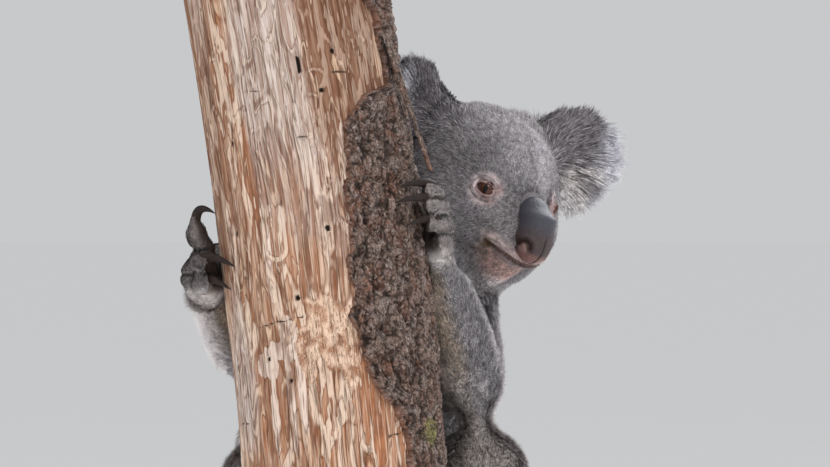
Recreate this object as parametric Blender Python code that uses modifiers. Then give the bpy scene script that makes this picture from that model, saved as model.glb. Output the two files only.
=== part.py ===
"""A life-size museum model of a koala that clings to a short length of tree trunk.

The trunk stands on two steel rods over a flat base.  The animal is a still model: each
part of its body is a closed solid out to the tips of the coat, parted from its
neighbours by thin gaps.

Units: lengths are written in millimetres and turned into metres where the meshes are
made.  The world's +X is the animal's left, -Y its front and +Z up, with the origin at
the middle of the base's underside.
"""
from math import cos, radians, sin

import bmesh
import bpy
import numpy as np
from mathutils import Matrix, Vector

MM = 0.001

# ---------------------------------------------------------------- driving dimensions
BASE_SIDE = 420.0            # square display base
BASE_THICKNESS = 24.0
ROD_RADIUS = 8.0
ROD_SPACING = 70.0
ROD_IN_BASE = 14.0
ROD_IN_TRUNK = 50.0

TRUNK_RADIUS = 76.0          # peeled wood
TRUNK_Y = -75.0              # the trunk's axis lies in this plane, in front of the animal
TRUNK_BOTTOM = 95.0
TRUNK_TOP = 822.0
TRUNK_SIDES = 24
BARK_INSIDE = 78.9
BARK_OUTSIDE = 81.4
BARK_BACK_EDGE = 158.0       # degrees round the trunk, from the front

GAP = 0.5                    # between the animal and the perch
SEAM = 1.7                   # between neighbouring parts of the body
SIDE_NAMES = ("left", "right")
SIDE_SIGNS = {"left": 1.0, "right": -1.0}

TORSO_X = -20.0              # the body hangs a little to the animal's left of the trunk
HEAD_CENTRE = (104.4, 45.0, 627.2)   # midway between the eyes
HEAD_YAW = 40.0              # turned to the animal's left
HEAD_ROLL = 16.0             # tipped to the animal's left
EYE_RADIUS = 8.8
EYE_OUTWARD = 46.0           # degrees between an eye's axis and straight ahead

# Joints of the limbs, on the middle line of each limb.
SHOULDER = {"left": (49.0, 82.0, 545.0), "right": (-58.0, 110.0, 558.0)}
ELBOW = {"left": (65.0, 4.0, 481.0), "right": (-105.0, 62.0, 500.0)}
WRIST = {"left": (40.0, -50.0, 575.0), "right": (-132.0, -44.0, 548.0)}
HIP = {"left": (40.0, 104.0, 292.0), "right": (-74.0, 104.0, 292.0)}
KNEE = {"left": (72.0, 8.0, 409.0), "right": (-96.0, 8.0, 402.0)}
ANKLE_ANGLE = 101.0          # round the trunk, from its front
ANKLE_HEIGHT = 268.0
ANKLE_STAND_OFF = 27.0

FUR_GREY = (0.36, 0.34, 0.33)
FUR_PALE = (0.70, 0.67, 0.62)
KERATIN = (0.035, 0.03, 0.03)
NOSE_SKIN = (0.07, 0.065, 0.07)
EYE_BROWN = (0.09, 0.035, 0.015)
WOOD = (0.50, 0.30, 0.17)
BARK = (0.16, 0.12, 0.10)
STEEL = (0.55, 0.55, 0.56)
BASE_PAINT = (0.05, 0.05, 0.055)


# ------------------------------------------------------------------------ scene set-up
def clear_scene():
    """Remove every object that the file holds."""
    for thing in list(bpy.data.objects):
        bpy.data.objects.remove(thing, do_unlink=True)


def new_collection(name):
    """Link a new collection to the scene."""
    collection = bpy.data.collections.new(name)
    bpy.context.scene.collection.children.link(collection)
    return collection


clear_scene()
PARTS = new_collection("koala_model")
CUTTERS = new_collection("cutters")


def paint(name, colour, roughness=0.8, metallic=0.0):
    """Make a plain material."""
    material = bpy.data.materials.new(name)
    material.use_nodes = True
    surface = material.node_tree.nodes["Principled BSDF"]
    surface.inputs["Base Color"].default_value = (*colour, 1.0)
    surface.inputs["Roughness"].default_value = roughness
    surface.inputs["Metallic"].default_value = metallic
    return material


def add_piece(name, mesh, colour, roughness=0.8, metallic=0.0, frame=None):
    """Put a mesh into the model as a named part with a material of its own."""
    piece = bpy.data.objects.new(name, mesh)
    PARTS.objects.link(piece)
    mesh.materials.clear()
    mesh.materials.append(paint(name + "_paint", colour, roughness, metallic))
    if frame is not None:
        piece.parent = frame
    return piece


def add_cutter(name, mesh, matrix=None):
    """Keep a mesh as a hidden tool for a Boolean."""
    cutter = bpy.data.objects.new(name, mesh)
    CUTTERS.objects.link(cutter)
    cutter.hide_render = True
    cutter.display_type = "WIRE"
    if matrix is not None:
        cutter.matrix_world = matrix
    return cutter


def evaluated_mesh(thing):
    """The object's mesh with its modifiers applied."""
    bpy.context.view_layer.update()
    depsgraph = bpy.context.evaluated_depsgraph_get()
    return bpy.data.meshes.new_from_object(thing.evaluated_get(depsgraph))


def apply_modifiers(thing):
    """Replace the object's mesh with its evaluated mesh."""
    mesh = evaluated_mesh(thing)
    thing.modifiers.clear()
    thing.data = mesh


def count_triangles(mesh):
    """Number of triangles that the mesh's faces divide into."""
    return sum(len(face.vertices) - 2 for face in mesh.polygons)


# ------------------------------------------------------------------ modelling in lumps
def add_lump(bm, centre, radii, turn=None):
    """Add an ellipsoid, turned about its centre by an optional rotation matrix."""
    place = Matrix.Translation(Vector(centre) * MM)
    if turn is not None:
        place = place @ turn.to_4x4()
    place = place @ Matrix.Diagonal((*(radius * MM for radius in radii), 1.0))
    bmesh.ops.create_uvsphere(bm, u_segments=32, v_segments=20, radius=1.0, matrix=place)


def add_bone(bm, start, end, start_radius, end_radius):
    """Add a straight tapered rod with round ends."""
    start = Vector(start)
    end = Vector(end)
    along = end - start
    add_lump(bm, start, (start_radius,) * 3)
    add_lump(bm, end, (end_radius,) * 3)
    turn = along.to_track_quat("Z", "Y").to_matrix().to_4x4()
    place = Matrix.Translation((start + end) * 0.5 * MM) @ turn
    bmesh.ops.create_cone(
        bm, cap_ends=True, segments=32, radius1=start_radius * MM,
        radius2=end_radius * MM, depth=along.length * MM, matrix=place)


def add_chain(bm, joints):
    """Add rods through a list of (place, radius) joints."""
    for (start, start_radius), (end, end_radius) in zip(joints, joints[1:]):
        add_bone(bm, start, end, start_radius, end_radius)


def model_flesh(name, lumps, chains, voxel, passes, triangles, colour, frame=None):
    """Fuse ellipsoids and rods into one smooth solid of about so many triangles."""
    bm = bmesh.new()
    for lump in lumps:
        add_lump(bm, *lump)
    for chain in chains:
        add_chain(bm, chain)
    mesh = bpy.data.meshes.new(name)
    bm.to_mesh(mesh)
    bm.free()
    piece = add_piece(name, mesh, colour, frame=frame)

    fuse = piece.modifiers.new("fuse", "REMESH")
    fuse.mode = "VOXEL"
    fuse.voxel_size = voxel * MM
    soften = piece.modifiers.new("soften", "SMOOTH")
    soften.factor = 0.5
    soften.iterations = passes
    apply_modifiers(piece)

    thin = piece.modifiers.new("thin", "DECIMATE")
    thin.ratio = min(1.0, triangles / count_triangles(piece.data))
    apply_modifiers(piece)
    piece.data.name = name
    piece.data.shade_smooth()
    return piece


# --------------------------------------------------------------------- parting by cuts
def grown_copy(piece):
    """A cutter of the piece's shape, larger by a thin gap all round.

    A large soft part's cutter is coarser than the part, so that hidden seams stay simple.
    """
    exact = ("perch", "stand", "eye", "nose", "hand", "foot", "claw")
    soft = not piece.name.startswith(exact)
    mesh = evaluated_mesh(piece)
    cutter = add_cutter(piece.name + "_cutter", mesh, piece.matrix_world)
    if soft:
        thin = cutter.modifiers.new("thin", "DECIMATE")
        thin.ratio = 0.9 if piece.name == "torso" else 0.55
        apply_modifiers(cutter)
        mesh = cutter.data
    count = len(mesh.vertices)
    places = np.empty(count * 3)
    normals = np.empty(count * 3)
    mesh.vertices.foreach_get("co", places)
    mesh.vertex_normals.foreach_get("vector", normals)
    gap = SEAM if soft else GAP
    mesh.vertices.foreach_set("co", places + normals * gap * MM)
    mesh.update()
    return cutter


def subtract(piece, cutter):
    """Cut one solid out of another with an exact Boolean."""
    cut = piece.modifiers.new("cut", "BOOLEAN")
    cut.operation = "DIFFERENCE"
    cut.solver = "EXACT"
    cut.object = cutter
    apply_modifiers(piece)


def islands(bm):
    """Groups of connected faces."""
    unseen = set(bm.faces)
    groups = []
    while unseen:
        front = [unseen.pop()]
        group = list(front)
        while front:
            face = front.pop()
            for edge in face.edges:
                for other in edge.link_faces:
                    if other in unseen:
                        unseen.remove(other)
                        front.append(other)
                        group.append(other)
        groups.append(group)
    return groups


def keep_largest_island(piece):
    """Drop the crumbs that a cut leaves beside the main solid."""
    bm = bmesh.new()
    bm.from_mesh(piece.data)
    groups = sorted(islands(bm), key=lambda group: sum(face.calc_area() for face in group))
    crumbs = [face for group in groups[:-1] for face in group]
    bmesh.ops.delete(bm, geom=crumbs, context="FACES")
    bm.to_mesh(piece.data)
    bm.free()


def world_box(piece):
    """Lowest and highest corner of the piece, in metres."""
    corners = np.array([piece.matrix_world @ vertex.co for vertex in piece.data.vertices])
    return corners.min(axis=0), corners.max(axis=0)


def boxes_meet(one, other):
    """Whether two pieces' boxes overlap."""
    low_one, high_one = world_box(one)
    low_other, high_other = world_box(other)
    return bool(np.all(low_one < high_other) and np.all(low_other < high_one))


def part_in_order(pieces):
    """Let each piece yield to the ones before it in the list, with a thin gap."""
    for index, piece in enumerate(pieces):
        for earlier in pieces[:index]:
            if boxes_meet(piece, earlier):
                subtract(piece, grown_copy(earlier))
        keep_largest_island(piece)


# --------------------------------------------------------------- the perch: tree trunk
def trunk_x(height):
    """The trunk leans to one side and bends slightly: its axis at a height."""
    rise = height - 600.0
    return -55.1 - 0.126 * rise - 0.00013 * rise * rise


def round_trunk(angle, height, reach):
    """A point at a distance from the trunk's axis; the angle runs from front to left."""
    turn = radians(angle)
    return Vector((trunk_x(height) + reach * sin(turn), TRUNK_Y - reach * cos(turn), height))


def make_trunk():
    """A sawn length of peeled trunk: a tube round its bent axis, bored for the rods."""
    curve = bpy.data.curves.new("perch_trunk", "CURVE")
    curve.dimensions = "3D"
    curve.bevel_depth = TRUNK_RADIUS * MM
    curve.bevel_resolution = (TRUNK_SIDES - 4) // 2
    curve.use_fill_caps = True
    heights = np.linspace(TRUNK_BOTTOM, TRUNK_TOP, 8)
    spline = curve.splines.new("POLY")
    spline.points.add(len(heights) - 1)
    for point, height in zip(spline.points, heights):
        point.co = (trunk_x(height) * MM, TRUNK_Y * MM, height * MM, 1.0)
    guide = add_cutter("trunk_guide", curve)
    mesh = evaluated_mesh(guide)
    bpy.data.objects.remove(guide)

    bm = bmesh.new()
    bm.from_mesh(mesh)
    bmesh.ops.remove_doubles(bm, verts=bm.verts, dist=1e-5)
    bmesh.ops.recalc_face_normals(bm, faces=bm.faces)
    for end in (TRUNK_BOTTOM, TRUNK_TOP):
        for vertex in bm.verts:
            if abs(vertex.co.z - end * MM) < 0.03:
                vertex.co.z = end * MM
    bm.to_mesh(mesh)
    bm.free()
    return add_piece("perch_trunk", mesh, WOOD, roughness=0.75)


BARK_EDGE = (                # (height, degrees from the front) of the torn front edge
    (98, 44), (180, 50), (260, 40), (340, 47), (400, 40), (440, 44), (458, 37),
    (480, 26), (498, 17), (550, 16), (600, 18), (688, 25), (704, 38), (714, 64),
    (819, 51))


def make_bark():
    """The bark left on one side: a shell bent round the trunk, torn along its front."""
    columns = 7
    rows = len(BARK_EDGE) - 1
    bm = bmesh.new()
    bmesh.ops.create_grid(bm, x_segments=columns, y_segments=rows, size=0.5)
    for vertex in bm.verts:
        height, front = BARK_EDGE[round((vertex.co.y + 0.5) * rows)]
        back = BARK_BACK_EDGE + 5.0 * sin(height / 41.0)
        angle = front + (vertex.co.x + 0.5) * (back - front)
        vertex.co = round_trunk(angle, height, BARK_OUTSIDE) * MM
    mesh = bpy.data.meshes.new("perch_bark")
    bm.to_mesh(mesh)
    bm.free()
    bark = add_piece("perch_bark", mesh, BARK, roughness=0.95)
    shell = bark.modifiers.new("shell", "SOLIDIFY")
    shell.thickness = (BARK_OUTSIDE - BARK_INSIDE) * MM
    shell.offset = -1.0
    apply_modifiers(bark)
    return bark


# ------------------------------------------------------------------- the display stand
def make_cylinder(radius, bottom, top, x, y, sides=16):
    """The mesh of an upright rod."""
    bm = bmesh.new()
    place = Matrix.Translation(Vector((x, y, (bottom + top) / 2.0)) * MM)
    bmesh.ops.create_cone(
        bm, cap_ends=True, segments=sides, radius1=radius * MM, radius2=radius * MM,
        depth=(top - bottom) * MM, matrix=place)
    mesh = bpy.data.meshes.new("rod")
    bm.to_mesh(mesh)
    bm.free()
    return mesh


def make_stand(trunk):
    """A flat base and two rods, set in holes bored in the base and in the trunk."""
    bm = bmesh.new()
    size = Matrix.Diagonal((BASE_SIDE * MM, BASE_SIDE * MM, BASE_THICKNESS * MM, 1.0))
    lift = Matrix.Translation((0.0, 0.0, BASE_THICKNESS * MM / 2.0))
    bmesh.ops.create_cube(bm, size=1.0, matrix=lift @ size)
    upright = [edge for edge in bm.edges if abs(edge.verts[0].co.z - edge.verts[1].co.z) > 0.01]
    bmesh.ops.bevel(bm, geom=upright, offset=0.018, segments=3, profile=0.5, affect="EDGES")
    rim = [edge for edge in bm.edges
           if min(vertex.co.z for vertex in edge.verts) > BASE_THICKNESS * MM - 1e-6]
    bmesh.ops.bevel(bm, geom=rim, offset=0.003, segments=1, profile=0.5, affect="EDGES")
    mesh = bpy.data.meshes.new("stand_base")
    bm.to_mesh(mesh)
    bm.free()
    base = add_piece("stand_base", mesh, BASE_PAINT, roughness=0.45)

    rods = []
    middle = trunk_x(TRUNK_BOTTOM)
    low = BASE_THICKNESS - ROD_IN_BASE
    high = TRUNK_BOTTOM + ROD_IN_TRUNK
    for number, side in enumerate((-1.0, 1.0), start=1):
        x = middle + side * ROD_SPACING / 2.0
        rod_mesh = make_cylinder(ROD_RADIUS, low, high, x, TRUNK_Y)
        hole_mesh = make_cylinder(ROD_RADIUS + 0.4, low - 0.4, high + 0.4, x, TRUNK_Y)
        hole = add_cutter(f"rod_hole_{number}", hole_mesh)
        subtract(base, hole)
        subtract(trunk, hole)
        rods.append(add_piece(f"stand_rod_{number}", rod_mesh, STEEL, 0.3, 1.0))
    return [base, *rods]


# ---------------------------------------------------------------------- torso and neck
def make_torso():
    """Rump, belly, chest and shoulders, pressed against the back of the trunk."""
    x = TORSO_X
    spine = [
        ((x + 4.0, 100.0, 302.0), 86.0),
        ((x, 101.0, 380.0), 98.0),
        ((x + 4.0, 99.0, 460.0), 95.0),
        ((x + 16.0, 102.0, 530.0), 84.0),
        ((x + 32.0, 108.0, 575.0), 68.0),
    ]
    lumps = []
    for side in SIDE_NAMES:
        sign = SIDE_SIGNS[side]
        lumps.append(((x + sign * 30.0, 98.0, 395.0), (83.0, 85.0, 118.0)))
        lumps.append((SHOULDER[side], (44.0, 44.0, 44.0)))
        lumps.append(((x + sign * 38.0, 104.0, 306.0), (66.0, 74.0, 76.0)))
    return model_flesh("torso", lumps, [spine], 6.0, 18, 440, FUR_GREY)


def make_neck():
    """A short thick neck from the shoulders up to the back of the head."""
    chain = [((8.0, 108.0, 560.0), 70.0), ((46.0, 106.0, 624.0), 62.0)]
    return model_flesh("neck", [], [chain], 6.0, 8, 160, FUR_GREY)


# ---------------------------------------------------------------------------- the head
def make_head_frame():
    """An empty midway between the eyes: x to the animal's left, y backward, z up."""
    frame = bpy.data.objects.new("head_frame", None)
    PARTS.objects.link(frame)
    turn = Matrix.Rotation(radians(HEAD_ROLL), 4, "Y") @ Matrix.Rotation(radians(HEAD_YAW), 4, "Z")
    frame.matrix_world = Matrix.Translation(Vector(HEAD_CENTRE) * MM) @ turn
    bpy.context.view_layer.update()
    return frame


def make_head(frame):
    """Skull, brow, cheeks and muzzle under their coat, in the head's own frame."""
    lumps = [
        ((0.0, 54.0, 2.0), (73.0, 56.0, 64.0)),        # skull
        ((0.0, 62.0, 25.0), (56.0, 48.0, 46.0)),       # crown
        ((0.0, 38.0, 20.0), (50.0, 40.0, 42.0)),       # brow
        ((0.0, 8.0, 2.0), (22.0, 26.0, 32.0)),         # bridge of the nose
        ((0.0, 1.0, -33.0), (37.0, 33.0, 33.0)),       # muzzle
        ((0.0, 9.0, -54.0), (26.0, 28.0, 21.0)),       # chin
    ]
    for sign in SIDE_SIGNS.values():
        lumps.append(((sign * 18.0, 18.0, 0.0), (30.0, 28.0, 27.0)))     # round the eye
        lumps.append(((sign * 37.0, 41.0, -22.0), (36.0, 39.0, 40.0)))   # cheek
        lumps.append(((sign * 26.0, 26.0, -45.0), (27.0, 31.0, 26.0)))   # jaw
    return model_flesh("head", lumps, [], 3.5, 8, 840, FUR_GREY, frame)


def make_nose(frame):
    """The bare leathery nose, wider at its lower end."""
    lumps = [
        ((0.0, -13.0, -2.5), (13.5, 10.0, 13.5)),
        ((0.0, -21.5, -16.0), (16.0, 14.5, 18.0)),
        ((0.0, -27.0, -29.5), (18.5, 17.0, 17.5)),
    ]
    return model_flesh("nose", lumps, [], 1.6, 5, 160, NOSE_SKIN, frame)


def eye_axis(side):
    """The direction an eye looks, in the head's frame."""
    turn = radians(EYE_OUTWARD)
    return Vector((SIDE_SIGNS[side] * sin(turn), -cos(turn), 0.0))


def eye_centre(side):
    """Middle of the eyeball, its front level with the eye's opening."""
    front = Vector((SIDE_SIGNS[side] * 38.8, 0.0, 0.0))
    return front - eye_axis(side) * (EYE_RADIUS - 0.6)


def make_eye(side, frame, head):
    """An eyeball in a socket that opens through the coat."""
    centre = eye_centre(side)
    bm = bmesh.new()
    bmesh.ops.create_uvsphere(
        bm, u_segments=10, v_segments=6, radius=EYE_RADIUS * MM,
        matrix=Matrix.Translation(centre * MM))
    mesh = bpy.data.meshes.new("eye_" + side)
    bm.to_mesh(mesh)
    bm.free()
    eye = add_piece("eye_" + side, mesh, EYE_BROWN, roughness=0.1, frame=frame)

    axis = eye_axis(side)
    depth = 16.0
    bm = bmesh.new()
    turn = axis.to_track_quat("Z", "Y").to_matrix().to_4x4()
    place = Matrix.Translation((centre + axis * (4.0 + depth / 2.0)) * MM) @ turn
    bmesh.ops.create_cone(
        bm, cap_ends=True, segments=12, radius1=6.0 * MM, radius2=15.0 * MM,
        depth=depth * MM, matrix=place)
    mesh = bpy.data.meshes.new("eye_opening")
    bm.to_mesh(mesh)
    bm.free()
    subtract(head, add_cutter("eye_opening_" + side, mesh, frame.matrix_world))
    return eye


EARS = {                     # centre, half width, half height, degrees of lean
    "left": ((86.0, 54.0, 42.0), 55.0, 54.0, 24.0),
    "right": ((-96.0, 54.0, 50.0), 43.0, 42.0, 20.0),
}


def make_ear(side, frame):
    """A round ear with its fringe, hollowed in front, set on the side of the crown."""
    centre, half_width, half_height, lean = EARS[side]
    sign = SIDE_SIGNS[side]
    turn = Matrix.Rotation(radians(-sign * lean), 3, "Y")
    back = Vector((0.0, 9.0, -2.0))
    lumps = [
        (centre, (half_width, 15.0, half_height), turn),
        (Vector(centre) + back, (half_width * 0.78, 20.0, half_height * 0.78), turn),
        ((sign * 62.0, 58.0, 38.0), (34.0, 23.0, 34.0)),
    ]
    ear = model_flesh("ear_" + side, lumps, [], 3.0, 6, 210, FUR_PALE, frame)
    bm = bmesh.new()
    hollow = Vector(centre) + Vector((sign * 4.0, -19.0, -2.0))
    add_lump(bm, hollow, (half_width * 0.6, 13.0, half_height * 0.6), turn)
    mesh = bpy.data.meshes.new("ear_hollow")
    bm.to_mesh(mesh)
    bm.free()
    thin = add_cutter("ear_hollow_" + side, mesh, frame.matrix_world)
    fewer = thin.modifiers.new("thin", "DECIMATE")
    fewer.ratio = 0.09
    apply_modifiers(thin)
    subtract(ear, thin)
    return ear


# ---------------------------------------------------------------------- arms and hands
def make_arm(side):
    """Upper arm and forearm, each a tapered solid round its bone."""
    shoulder = Vector(SHOULDER[side])
    elbow = Vector(ELBOW[side])
    wrist = Vector(WRIST[side])
    upper = model_flesh(
        "upper_arm_" + side, [], [[(shoulder, 41.0), (elbow, 30.0)]], 4.5, 5, 180, FUR_GREY)
    bulge = elbow.lerp(wrist, 0.35)
    fore = model_flesh(
        "forearm_" + side, [], [[(elbow, 29.0), (bulge, 30.0), (wrist, 21.0)]],
        4.0, 5, 200, FUR_PALE)
    return upper, fore


# The left hand and foot hold the bark, the right ones the peeled wood.
SURFACE = {"left": BARK_OUTSIDE, "right": TRUNK_RADIUS}

# Each digit: its knuckle, middle joint and tip as (degrees round the trunk, height,
# distance off its surface), then the claw's tip as (degrees, height).  The angles are
# mirrored for the right hand.  Digits 1 and 2 oppose the other three round the trunk.
HAND_DIGITS = {
    "left": (
        ((103, 592, 14), (116, 596, 12), (126, 598, 9), (138, 600)),
        ((102, 606, 14), (115, 613, 12), (125, 616, 9), (137, 618)),
        ((88, 617, 15), (77, 629, 17), (68, 632, 14), (58, 635.5)),
        ((88, 608, 16), (76, 619, 18), (67, 621, 14), (55, 623)),
        ((89, 595, 16), (77, 602, 18), (67, 604, 14), (61, 606.5)),
    ),
    "right": (
        ((104, 562, 17), (117, 567, 14), (127, 569, 10), (139, 571)),
        ((103, 576, 17), (116, 584, 14), (126, 587, 10), (138, 590)),
        ((91, 588, 16), (91, 600, 22), (89, 609, 19), (79, 615)),
        ((88, 574, 17), (80, 580, 25), (72, 577, 19), (56, 574)),
        ((88, 560, 17), (80, 563, 25), (74, 560, 18), (66, 556)),
    ),
}
PALM = {"left": (95, 596, 16), "right": (96, 567, 19)}
FINGER_RADII = (11.0, 9.0, 7.5)
CLAW_TIP_OFF = 1.2


def trunk_place(side, spot):
    """A point from (degrees, height, distance), mirrored for the right side."""
    angle, height, stand_off = spot
    return round_trunk(SIDE_SIGNS[side] * angle, height, SURFACE[side] + stand_off)


def make_hand(side):
    """Palm and five digits wrapped round the trunk: two thumbs against three fingers."""
    palm = trunk_place(side, PALM[side])
    chains = [[(Vector(WRIST[side]), 20.0), (palm, 17.0)]]
    for knuckle, middle, tip, _claw in HAND_DIGITS[side]:
        joints = [trunk_place(side, spot) for spot in (knuckle, middle, tip)]
        chains.append([(palm, 14.0)] + list(zip(joints, FINGER_RADII)))
    return model_flesh("hand_" + side, [], chains, 2.2, 4, 340, FUR_GREY)


def make_claw(name, root, tip, rise, root_radius):
    """A curved tapered claw that bows outward between its root and its tip."""
    steps = 3
    outward = (root - Vector((trunk_x(root.z), TRUNK_Y, root.z))).normalized()
    curve = bpy.data.curves.new(name, "CURVE")
    curve.dimensions = "3D"
    curve.bevel_depth = root_radius * MM
    curve.bevel_resolution = 1
    curve.use_fill_caps = True
    spline = curve.splines.new("POLY")
    spline.points.add(steps)
    for index, point in enumerate(spline.points):
        share = index / steps
        place = root.lerp(tip, share) + outward * rise * 4.0 * share * (1.0 - share)
        point.co = (*(place * MM), 1.0)
        point.radius = 1.0 - 0.85 * share ** 2.0
    guide = add_cutter(name + "_guide", curve)
    mesh = evaluated_mesh(guide)
    bpy.data.objects.remove(guide)
    bm = bmesh.new()
    bm.from_mesh(mesh)
    bmesh.ops.remove_doubles(bm, verts=bm.verts, dist=1e-5)
    bmesh.ops.recalc_face_normals(bm, faces=bm.faces)
    bm.to_mesh(mesh)
    bm.free()
    return add_piece(name, mesh, KERATIN, roughness=0.35)


def make_hand_claws(side):
    """Five long claws, each bowed from the back of a fingertip to the trunk."""
    claws = []
    for number, (_knuckle, middle, tip, claw) in enumerate(HAND_DIGITS[side], start=1):
        middle_place = trunk_place(side, middle)
        tip_place = trunk_place(side, tip)
        root = middle_place.lerp(tip_place, 0.7) + Vector((0.0, 0.0, 6.0))
        end = trunk_place(side, (*claw, CLAW_TIP_OFF))
        name = f"claw_hand_{side}_{number}"
        claws.append(make_claw(name, root, end, 6.0, 4.6))
    return claws


# ----------------------------------------------------------------------- legs and feet
def ankle(side):
    """The ankle beside the trunk."""
    return trunk_place(side, (ANKLE_ANGLE, ANKLE_HEIGHT, ANKLE_STAND_OFF))


def make_leg(side):
    """Thigh and shin, drawn up beside the belly."""
    hip = Vector(HIP[side])
    knee = Vector(KNEE[side])
    thigh = model_flesh(
        "thigh_" + side, [], [[(hip, 62.0), (knee, 43.0)]], 5.5, 6, 180, FUR_GREY)
    shin = model_flesh(
        "shin_" + side, [], [[(knee, 36.0), (knee.lerp(ankle(side), 0.4), 34.0),
                              (ankle(side), 24.0)]], 4.5, 5, 180, FUR_GREY)
    return thigh, shin


# The same layout as the hand's digits.  The first toe has no claw and points down; the
# second and third are joined, with two small claws; the fourth is the longest.
FOOT_DIGITS = (
    ((90, 246, 13), (88, 232, 12), (86, 220, 9), None),
    ((84, 276, 14), (74, 289, 13), (66, 294, 10), (57, 297)),
    ((83, 270, 15), (73, 281, 13), (65, 285, 10), (56, 287)),
    ((82, 262, 15), (69, 270, 14), (59, 272, 11), (46, 271)),
    ((82, 252, 15), (71, 256, 14), (62, 256, 11), (50, 254)),
)
HEEL = (106, 240, 19)
BALL = (88, 260, 15)


def make_foot(side):
    """Sole and five toes against the side of the trunk."""
    heel = trunk_place(side, HEEL)
    ball = trunk_place(side, BALL)
    chains = [[(ankle(side), 23.0), (heel, 19.0), (ball, 17.0)], [(ankle(side), 23.0), (ball, 17.0)]]
    for knuckle, middle, tip, _claw in FOOT_DIGITS:
        joints = [trunk_place(side, spot) for spot in (knuckle, middle, tip)]
        chains.append([(ball, 14.0)] + list(zip(joints, FINGER_RADII)))
    return model_flesh("foot_" + side, [], chains, 2.4, 4, 280, FUR_GREY)


def make_foot_claws(side):
    """Four claws: two small ones on the joined toes, two long ones outside them."""
    claws = []
    for number, (_knuckle, middle, tip, claw) in enumerate(FOOT_DIGITS, start=1):
        if claw is None:
            continue
        radius = 2.6 if number in (2, 3) else 3.8
        root = trunk_place(side, middle).lerp(trunk_place(side, tip), 0.6)
        root.z += 5.0
        end = trunk_place(side, (*claw, CLAW_TIP_OFF))
        name = f"claw_foot_{side}_{number}"
        claws.append(make_claw(name, root, end, 4.0, radius))
    return claws


# ------------------------------------------------------------------------ the assembly
def build():
    """Make every piece, then part the ones that meet."""
    trunk = make_trunk()
    stand = make_stand(trunk)
    bark = make_bark()

    frame = make_head_frame()
    head = make_head(frame)
    nose = make_nose(frame)
    eyes = [make_eye(side, frame, head) for side in SIDE_NAMES]
    ears = [make_ear(side, frame) for side in SIDE_NAMES]
    torso = make_torso()
    neck = make_neck()

    hands = [make_hand(side) for side in SIDE_NAMES]
    feet = [make_foot(side) for side in SIDE_NAMES]
    arms = [piece for side in SIDE_NAMES for piece in make_arm(side)]
    legs = [piece for side in SIDE_NAMES for piece in make_leg(side)]
    claws = [claw for side in SIDE_NAMES for claw in make_hand_claws(side)]
    claws += [claw for side in SIDE_NAMES for claw in make_foot_claws(side)]

    part_in_order([
        *stand, trunk, bark, nose, *eyes, head, *ears, torso, neck,
        *arms, *legs, *hands, *feet, *claws])


build()
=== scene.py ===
import math
from contextlib import contextmanager
from itertools import product

import bmesh
import bpy
import numpy as np
from mathutils import Matrix, Vector
from mathutils.bvhtree import BVHTree
from mathutils.kdtree import KDTree


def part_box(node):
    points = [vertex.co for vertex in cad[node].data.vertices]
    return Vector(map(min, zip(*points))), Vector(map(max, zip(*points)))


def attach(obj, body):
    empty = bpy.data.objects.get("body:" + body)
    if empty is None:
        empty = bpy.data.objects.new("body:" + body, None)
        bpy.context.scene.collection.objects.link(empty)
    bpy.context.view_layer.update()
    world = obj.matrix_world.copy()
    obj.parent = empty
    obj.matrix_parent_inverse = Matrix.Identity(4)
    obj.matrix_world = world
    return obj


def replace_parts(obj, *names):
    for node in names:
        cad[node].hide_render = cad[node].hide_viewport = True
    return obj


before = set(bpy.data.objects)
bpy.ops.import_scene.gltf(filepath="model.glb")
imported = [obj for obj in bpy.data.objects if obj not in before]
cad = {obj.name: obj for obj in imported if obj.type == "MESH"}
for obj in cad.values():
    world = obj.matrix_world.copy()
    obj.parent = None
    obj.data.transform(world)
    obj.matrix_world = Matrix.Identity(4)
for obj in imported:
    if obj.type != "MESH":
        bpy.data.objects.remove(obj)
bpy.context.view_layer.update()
MM = 0.001


# ---------------------------------------------------------------------- the studio
# A plain pale floor without an edge in sight and soft light: a large box high on the
# right, a weaker one on the left, and one behind that brightens the edges of the fur.
VIEW_FROM = (0.020, -3.575, 0.600)
VIEW_LENS = 197.3
PALE = (0.80, 0.81, 0.82, 1.0)
AIR_LIGHT = 0.72

lens = bpy.data.cameras.new("camera")
lens.lens = VIEW_LENS
lens.sensor_width = 36.0
lens.clip_end = 400.0
camera = bpy.data.objects.new("camera", lens)
camera.location = VIEW_FROM
camera.rotation_euler = (math.radians(90.0), 0.0, 0.0)
bpy.context.scene.collection.objects.link(camera)
bpy.context.scene.camera = camera
bpy.context.scene.view_settings.view_transform = "Standard"


def softbox(name, place, aim, size, power, colour=(1.0, 1.0, 1.0)):
    """A square soft light at a place, turned towards a point."""
    light = bpy.data.lights.new(name, "AREA")
    light.size = size
    light.energy = power
    light.color = colour
    lamp = bpy.data.objects.new(name, light)
    lamp.location = place
    lamp.rotation_euler = (Vector(aim) - Vector(place)).to_track_quat("-Z", "Y").to_euler()
    bpy.context.scene.collection.objects.link(lamp)


MIDDLE = (0.02, 0.0, 0.58)
softbox("key_light", (1.7, -2.0, 2.7), MIDDLE, 1.4, 60.0, (1.0, 0.99, 0.975))
softbox("fill_light", (-2.3, -2.2, 1.5), MIDDLE, 1.8, 30.0, (1.0, 0.98, 0.96))
softbox("rim_light", (1.3, 1.8, 2.1), MIDDLE, 1.4, 66.0, (0.97, 0.985, 1.0))

world = bpy.data.worlds.new("studio")
world.use_nodes = True
backdrop = world.node_tree.nodes["Background"].inputs
backdrop["Color"].default_value = PALE
backdrop["Strength"].default_value = AIR_LIGHT
bpy.context.scene.world = world


def connect(tree, slot, value):
    """Feed a shader socket from another socket, or set its fixed value."""
    if isinstance(value, Wire):
        tree.links.new(value.socket, slot)
    else:
        slot.default_value = value


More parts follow.
